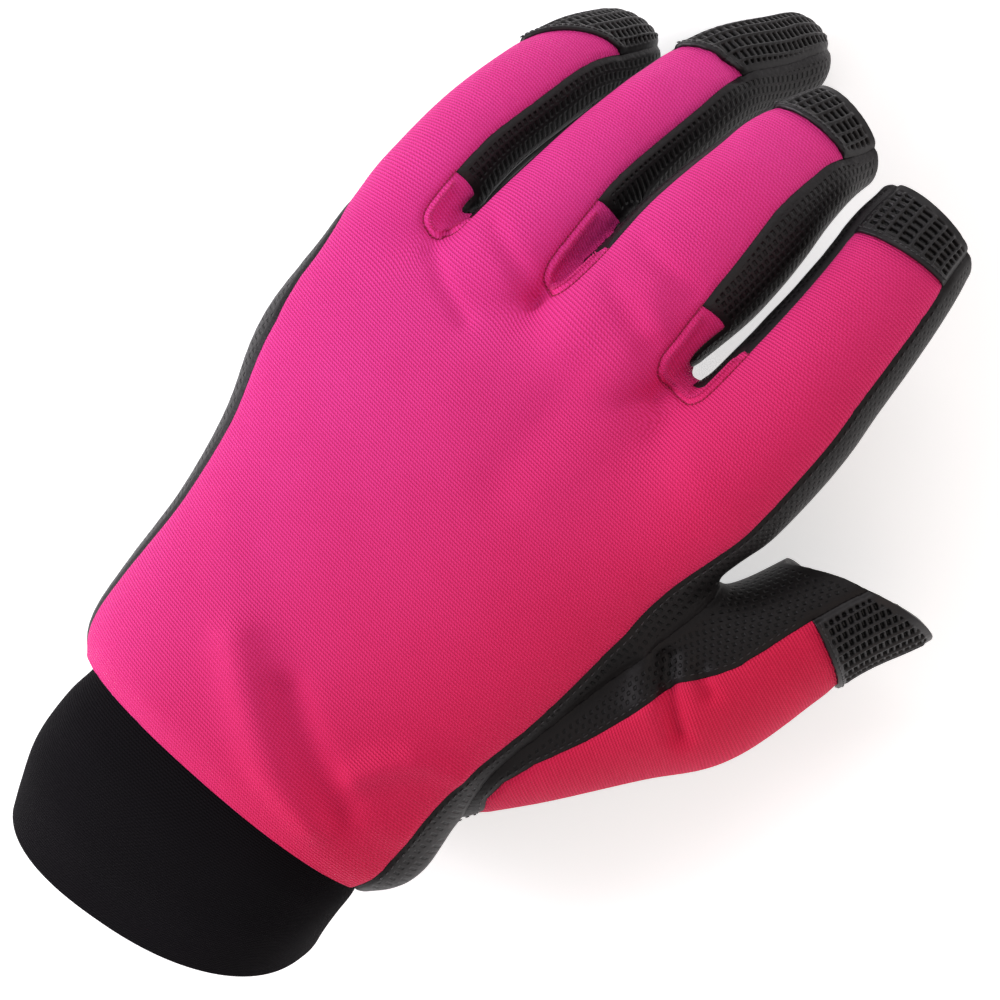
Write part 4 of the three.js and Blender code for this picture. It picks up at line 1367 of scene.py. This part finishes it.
def weave_material(name, cloth_colour, slit_shade_colour, roughness, shine, slits, slit_depth):
    material, tree, shader = new_material(name, cloth_colour, roughness)
    across, along, seam = cloth_place(tree)
    slit, _ = slit_shares(tree, across, along, *slits)
    clear = place(tree, "ShaderNodeMapRange", seam, *SLITS_FROM_SEAM, 0.0, 1.0)
    slit = math_node(tree, "MULTIPLY", slit, clear)
    grain = object_noise(tree, 1500, 3)
    swell = object_noise(tree, 90, 2)
    height = math_node(tree, "MULTIPLY_ADD", grain, 0.3, math_node(tree, "MULTIPLY", slit, -1.0))
    add_bump(tree, shader, height, slit_depth / 1000)
    shade = math_node(tree, "MULTIPLY_ADD", slit, -1.0, math_node(tree, "MULTIPLY_ADD", swell, 0.5, 0.7))
    # The slits and dimples get a darker colour: painted shade in them
    colour = mix_colour(tree, shade, (*slit_shade_colour, 1), (*cloth_colour, 1))
    tree.links.new(colour, shader.inputs["Base Color"])
    rough = math_node(tree, "MULTIPLY_ADD", grain, 0.25, roughness - 0.12)
    tree.links.new(rough, shader.inputs["Roughness"])
    shader.inputs["Specular IOR Level"].default_value = shine
    return material


# Each weave: its cloth colour, then the painted shade in its slits or dimples
cap_weave = weave_material("cap_slit_weave", (0.0085, 0.0073, 0.0082), (0.0008, 0.0008, 0.0008),
                           0.42, 0.32, CAP_SLITS, 0.1)
side_weave = weave_material("perforated_side_cloth", (0.009, 0.0075, 0.0085), (0.0008, 0.0007, 0.0008),
                            0.5, 0.3, SIDE_SLITS, 0.42)
palm_weave = weave_material("dimpled_palm_cloth", (0.0065, 0.0052, 0.0055), (0.0008, 0.0007, 0.0008),
                            0.5, 0.2, DIMPLES, 0.16)

finishes = {}
for name in PANELS:
    is_knit = name in ("back_panel", "thumb_back") or "gusset" in name
    is_palm = name in ("palm_panel", "thumb_palm", "radial_side_strip")
    finishes[name] = (pink_knit if is_knit else cap_weave if name.endswith("cap") else
                      palm_weave if is_palm else side_weave)
finishes["cuff"] = black_knit
for name, piece in pieces.items():
    piece.data.materials.append(finishes[name])
print("materials:", [m.name for m in bpy.data.materials])

# %% [markdown]
# ## Slits in relief
# On the caps the slits are deep and the cloth between two rows of them stands up as a ridge. A Geometry Nodes
# tree moves the outer face of each cap along its normals by the same rule that the material follows, so one
# set of sizes gives both.

# %% Geometry Nodes helpers


def new_tree(name, sizes):
    """A tree that takes a geometry, named sizes and a material, and gives a geometry."""
    tree = bpy.data.node_groups.new(name, "GeometryNodeTree")
    tree.interface.new_socket("Geometry", in_out="INPUT", socket_type="NodeSocketGeometry")
    for size in sizes:
        tree.interface.new_socket(size, in_out="INPUT", socket_type="NodeSocketFloat")
    tree.interface.new_socket("Material", in_out="INPUT", socket_type="NodeSocketMaterial")
    tree.interface.new_socket("Geometry", in_out="OUTPUT", socket_type="NodeSocketGeometry")
    return tree, tree.nodes.new("NodeGroupInput")


def end_tree(tree, enter, geometry):
    """Realizes the instances, gives the material and ends the tree."""
    realize = tree.nodes.new("GeometryNodeRealizeInstances")
    finish = tree.nodes.new("GeometryNodeSetMaterial")
    leave = tree.nodes.new("NodeGroupOutput")
    tree.links.new(geometry, realize.inputs["Geometry"])
    tree.links.new(realize.outputs["Geometry"], finish.inputs["Geometry"])
    tree.links.new(enter.outputs["Material"], finish.inputs["Material"])
    tree.links.new(finish.outputs["Geometry"], leave.inputs["Geometry"])


def run_tree(piece, tree, values):
    """Runs a tree on a piece and keeps the result as its plain mesh."""
    modifier = piece.modifiers.new(tree.name, "NODES")
    modifier.node_group = tree
    for item in tree.interface.items_tree:
        if item.in_out == "INPUT" and item.name in values:
            modifier[item.identifier] = values[item.name]
    graph = bpy.context.evaluated_depsgraph_get()
    result = bpy.data.meshes.new_from_object(piece.evaluated_get(graph))
    piece.modifiers.remove(modifier)
    before = piece.data
    piece.data = result
    result.name = before.name
    bpy.data.meshes.remove(before)
    return piece


def read_attribute(tree, name):
    reader = tree.nodes.new("GeometryNodeInputNamedAttribute")
    reader.data_type = "FLOAT_VECTOR"
    reader.inputs["Name"].default_value = name
    parts = tree.nodes.new("ShaderNodeSeparateXYZ")
    tree.links.new(reader.outputs["Attribute"], parts.inputs[0])
    return parts.outputs


# %% Slits of the caps
RIDGE_HEIGHT = 0.28
SLIT_DEPTH = 0.7


def slit_relief_tree():
    sizes = ["Row Pitch", "Slit Pitch", "Slit Length", "Slit Width", "Ridge Height", "Slit Depth"]
    tree, enter = new_tree("slit_relief", sizes)
    cloth_mm, outside = read_attribute(tree, "cloth_mm"), read_attribute(tree, "outside")
    slit, ridge = slit_shares(tree, cloth_mm[0], cloth_mm[1], *[enter.outputs[size] for size in sizes[:4]])
    clear = place(tree, "ShaderNodeMapRange", cloth_mm[2], *RELIEF_FROM_SEAM, 0.0, 1.0)
    up = math_node(tree, "MULTIPLY", ridge, enter.outputs["Ridge Height"])
    down = math_node(tree, "MULTIPLY", slit, enter.outputs["Slit Depth"])
    lift = math_node(tree, "MULTIPLY", math_node(tree, "SUBTRACT", up, down), math_node(
        tree, "MULTIPLY", clear, outside[0]))
    way = tree.nodes.new("GeometryNodeInputNormal")
    offset = tree.nodes.new("ShaderNodeVectorMath")
    offset.operation = "SCALE"
    tree.links.new(way.outputs[0], offset.inputs[0])
    tree.links.new(math_node(tree, "DIVIDE", lift, 1000.0), offset.inputs["Scale"])
    move = tree.nodes.new("GeometryNodeSetPosition")
    tree.links.new(enter.outputs["Geometry"], move.inputs["Geometry"])
    tree.links.new(offset.outputs[0], move.inputs["Offset"])
    end_tree(tree, enter, move.outputs["Geometry"])
    return tree


slit_relief = slit_relief_tree()
cap_sizes = dict(zip(["Row Pitch", "Slit Pitch", "Slit Length", "Slit Width"], CAP_SLITS))
cap_sizes.update({"Ridge Height": RIDGE_HEIGHT, "Slit Depth": SLIT_DEPTH, "Material": cap_weave})
for name, piece in pieces.items():
    if name.endswith("cap"):
        run_tree(piece, slit_relief, cap_sizes)
        print(name, "with slits, triangles:", count_triangles(piece.data))

# %% [markdown]
# ## Stitches
# A seam line is a chain of edges between two panels. It is moved a little into one of them, and a tree sets a
# small spindle of thread at every pitch along it, laid along the line and turned by a slant.

# %% Seam lines
UP_ROUNDS, PULL_ROUNDS, LINE_ROUNDS = 4, 8, 4


def even_out(values, edges, rounds):
    """Moves each value halfway to the mean of its neighbours on the line."""
    number = np.bincount(edges.ravel(), minlength=len(values))[:, None]
    for _ in range(rounds):
        total = np.zeros_like(values)
        np.add.at(total, edges[:, 0], values[edges[:, 1]])
        np.add.at(total, edges[:, 1], values[edges[:, 0]])
        values = np.where(number > 1, (values + total / number) / 2, values)
    return values


def seam_line(name, chosen, wanted, inset, proud):
    """The chosen seams as a mesh of edges, moved into the wanted panels by the inset."""
    used, edges = np.unique(sewn[chosen], return_inverse=True)
    edges = edges.reshape(-1, 2)
    tris = cloth.tris[wanted[cloth.label]]
    middle = cloth.points[tris].mean(1)
    pull = np.zeros_like(cloth.points)
    for k in range(3):
        np.add.at(pull, tris[:, k], unit(middle - cloth.points[tris[:, k]]))
    up = even_out(normals[used], edges, UP_ROUNDS)
    pull = even_out(unit(pull[used] + 1e-9), edges, PULL_ROUNDS)
    pull = unit(pull - up * (pull * up).sum(1)[:, None] + 1e-9)
    points = even_out(cloth.points[used] + pull * inset + up * proud, edges, LINE_ROUNDS)
    mesh = bpy.data.meshes.new(name)
    mesh.from_pydata(((points + origin) / 1000).tolist(), edges.tolist(), [])
    keep_place(mesh, "cloth_up", up)
    line = bpy.data.objects.new(name, mesh)
    bpy.context.scene.collection.objects.link(line)
    return line


# %% Stitch tree
SPINDLE_SIDES, SPINDLE_RINGS = 6, 4


def stitch_tree():
    sizes = ["Pitch", "Half Length", "Thickness", "Slant"]
    tree, enter = new_tree("stitches", sizes)
    curve = tree.nodes.new("GeometryNodeMeshToCurve")
    tree.links.new(enter.outputs["Geometry"], curve.inputs["Mesh"])
    marks = tree.nodes.new("GeometryNodeResampleCurve")
    marks.mode = "LENGTH"
    tree.links.new(curve.outputs["Curve"], marks.inputs["Curve"])
    tree.links.new(enter.outputs["Pitch"], marks.inputs["Length"])
    spindle = tree.nodes.new("GeometryNodeMeshUVSphere")
    spindle.inputs["Segments"].default_value = SPINDLE_SIDES
    spindle.inputs["Rings"].default_value = SPINDLE_RINGS
    spindle.inputs["Radius"].default_value = 1.0
    tangent = tree.nodes.new("GeometryNodeInputTangent")
    along = tree.nodes.new("FunctionNodeAlignRotationToVector")
    along.axis = "X"
    tree.links.new(tangent.outputs[0], along.inputs["Vector"])
    reader = tree.nodes.new("GeometryNodeInputNamedAttribute")
    reader.data_type = "FLOAT_VECTOR"
    reader.inputs["Name"].default_value = "cloth_up"
    upright = tree.nodes.new("FunctionNodeAlignRotationToVector")
    upright.axis = "Z"
    upright.pivot_axis = "X"
    tree.links.new(along.outputs[0], upright.inputs["Rotation"])
    tree.links.new(reader.outputs["Attribute"], upright.inputs["Vector"])
    lean = tree.nodes.new("FunctionNodeEulerToRotation")
    turn = tree.nodes.new("ShaderNodeCombineXYZ")
    tree.links.new(enter.outputs["Slant"], turn.inputs["Z"])
    tree.links.new(turn.outputs[0], lean.inputs[0])
    slanted = tree.nodes.new("FunctionNodeRotateRotation")
    slanted.rotation_space = "LOCAL"
    tree.links.new(upright.outputs[0], slanted.inputs[0])
    tree.links.new(lean.outputs[0], slanted.inputs[1])
    size = tree.nodes.new("ShaderNodeCombineXYZ")
    tree.links.new(enter.outputs["Half Length"], size.inputs["X"])
    tree.links.new(enter.outputs["Thickness"], size.inputs["Y"])
    tree.links.new(enter.outputs["Thickness"], size.inputs["Z"])
    put = tree.nodes.new("GeometryNodeInstanceOnPoints")
    tree.links.new(marks.outputs["Curve"], put.inputs["Points"])
    tree.links.new(spindle.outputs["Mesh"], put.inputs["Instance"])
    tree.links.new(slanted.outputs[0], put.inputs["Rotation"])
    tree.links.new(size.outputs[0], put.inputs["Scale"])
    end_tree(tree, enter, put.outputs["Instances"])
    return tree


def thread_material(name, colour, roughness):
    material, tree, shader = new_material(name, colour, roughness)
    twist = object_noise(tree, 3000, 2)
    add_bump(tree, shader, twist, 0.00005)
    shade = math_node(tree, "MULTIPLY_ADD", twist, 0.8, 0.1)
    dark = tuple(0.5 * c for c in colour)
    tree.links.new(mix_colour(tree, shade, (*dark, 1), (*colour, 1)), shader.inputs["Base Color"])
    return material


black_thread = thread_material("black_thread", (0.014, 0.012, 0.014), 0.4)
pink_thread = thread_material("deep_pink_thread", (0.36, 0.004, 0.05), 0.6)
lip_thread = thread_material("pink_lip_thread", (0.7, 0.018, 0.19), 0.7)

stitches = stitch_tree()
is_black = ~is_pink & ~is_gusset & ~is_cap
by_thumb = np.isin(np.arange(len(PANELS)), [PANELS.index("radial_side_strip"), PANELS.index("thumb_palm")])
edge_seam = (is_pink[sewn_panels].any(1)) & (by_thumb[sewn_panels].any(1))

# A row of stitches stops short of where its seam ends, in mm: of the black cloth, of a gusset's top, of the
# glove's own edges and of a cap's rim.
SHORT_OF_CLOTH = 1.2
SHORT_OF_TOP = 1.8
SHORT_OF_END = 5.5
SHORT_OF_RIM = 3
inside_rim = rim_seam & (to_plain[sewn].min(1) > SHORT_OF_CLOTH)
inside_lip = lip_seam & (to_gusset_top[sewn].min(1) > SHORT_OF_TOP)
inside_edge = edge_seam & (to_end[sewn].min(1) > SHORT_OF_END) & (to_rim[sewn].min(1) > SHORT_OF_RIM)

# Each row: its seams, the panels that it lies on, how far in from the seam and how proud it is, the pitch,
# half length and half thickness of its stitches in mm, their slant in radians, and their thread
LINES = {
    "rim_stitches": (inside_rim, is_cap, 0.75, RIM_PROUD + 0.02, 1.1, 0.5, 0.16, 0.0, black_thread),
    "crotch_stitches": (lip_seam, is_pink, 0.1, -0.25, 0.8, 0.4, 0.15, 0.5, pink_thread),
    "lip_stitches": (inside_lip, is_gusset, 0.9, LIP_PROUD - 0.1, 0.55, 0.55, 0.15, 1.3, lip_thread),
    "edge_stitches": (inside_edge, is_black, 1.1, 0.0, 1.6, 0.55, 0.13, 0.1, black_thread),
}
for name, (chosen, wanted, inset, proud, pitch, half_length, thickness, slant, thread) in LINES.items():
    line = seam_line(name, chosen, wanted, inset, proud)
    run_tree(line, stitches, {"Pitch": pitch / 1000, "Half Length": half_length / 1000,
                              "Thickness": thickness / 1000, "Slant": slant, "Material": thread})
    pieces[name] = line
    finishes[name] = thread
    print(name, "triangles:", count_triangles(line.data))

# %% [markdown]
# ## Attaching the pieces
# Every piece rides on the one body, and a CAD node that has a piece's name is hidden.

# %% Rides
for name, piece in pieces.items():
    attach(piece, "root")
    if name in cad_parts:
        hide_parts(name)

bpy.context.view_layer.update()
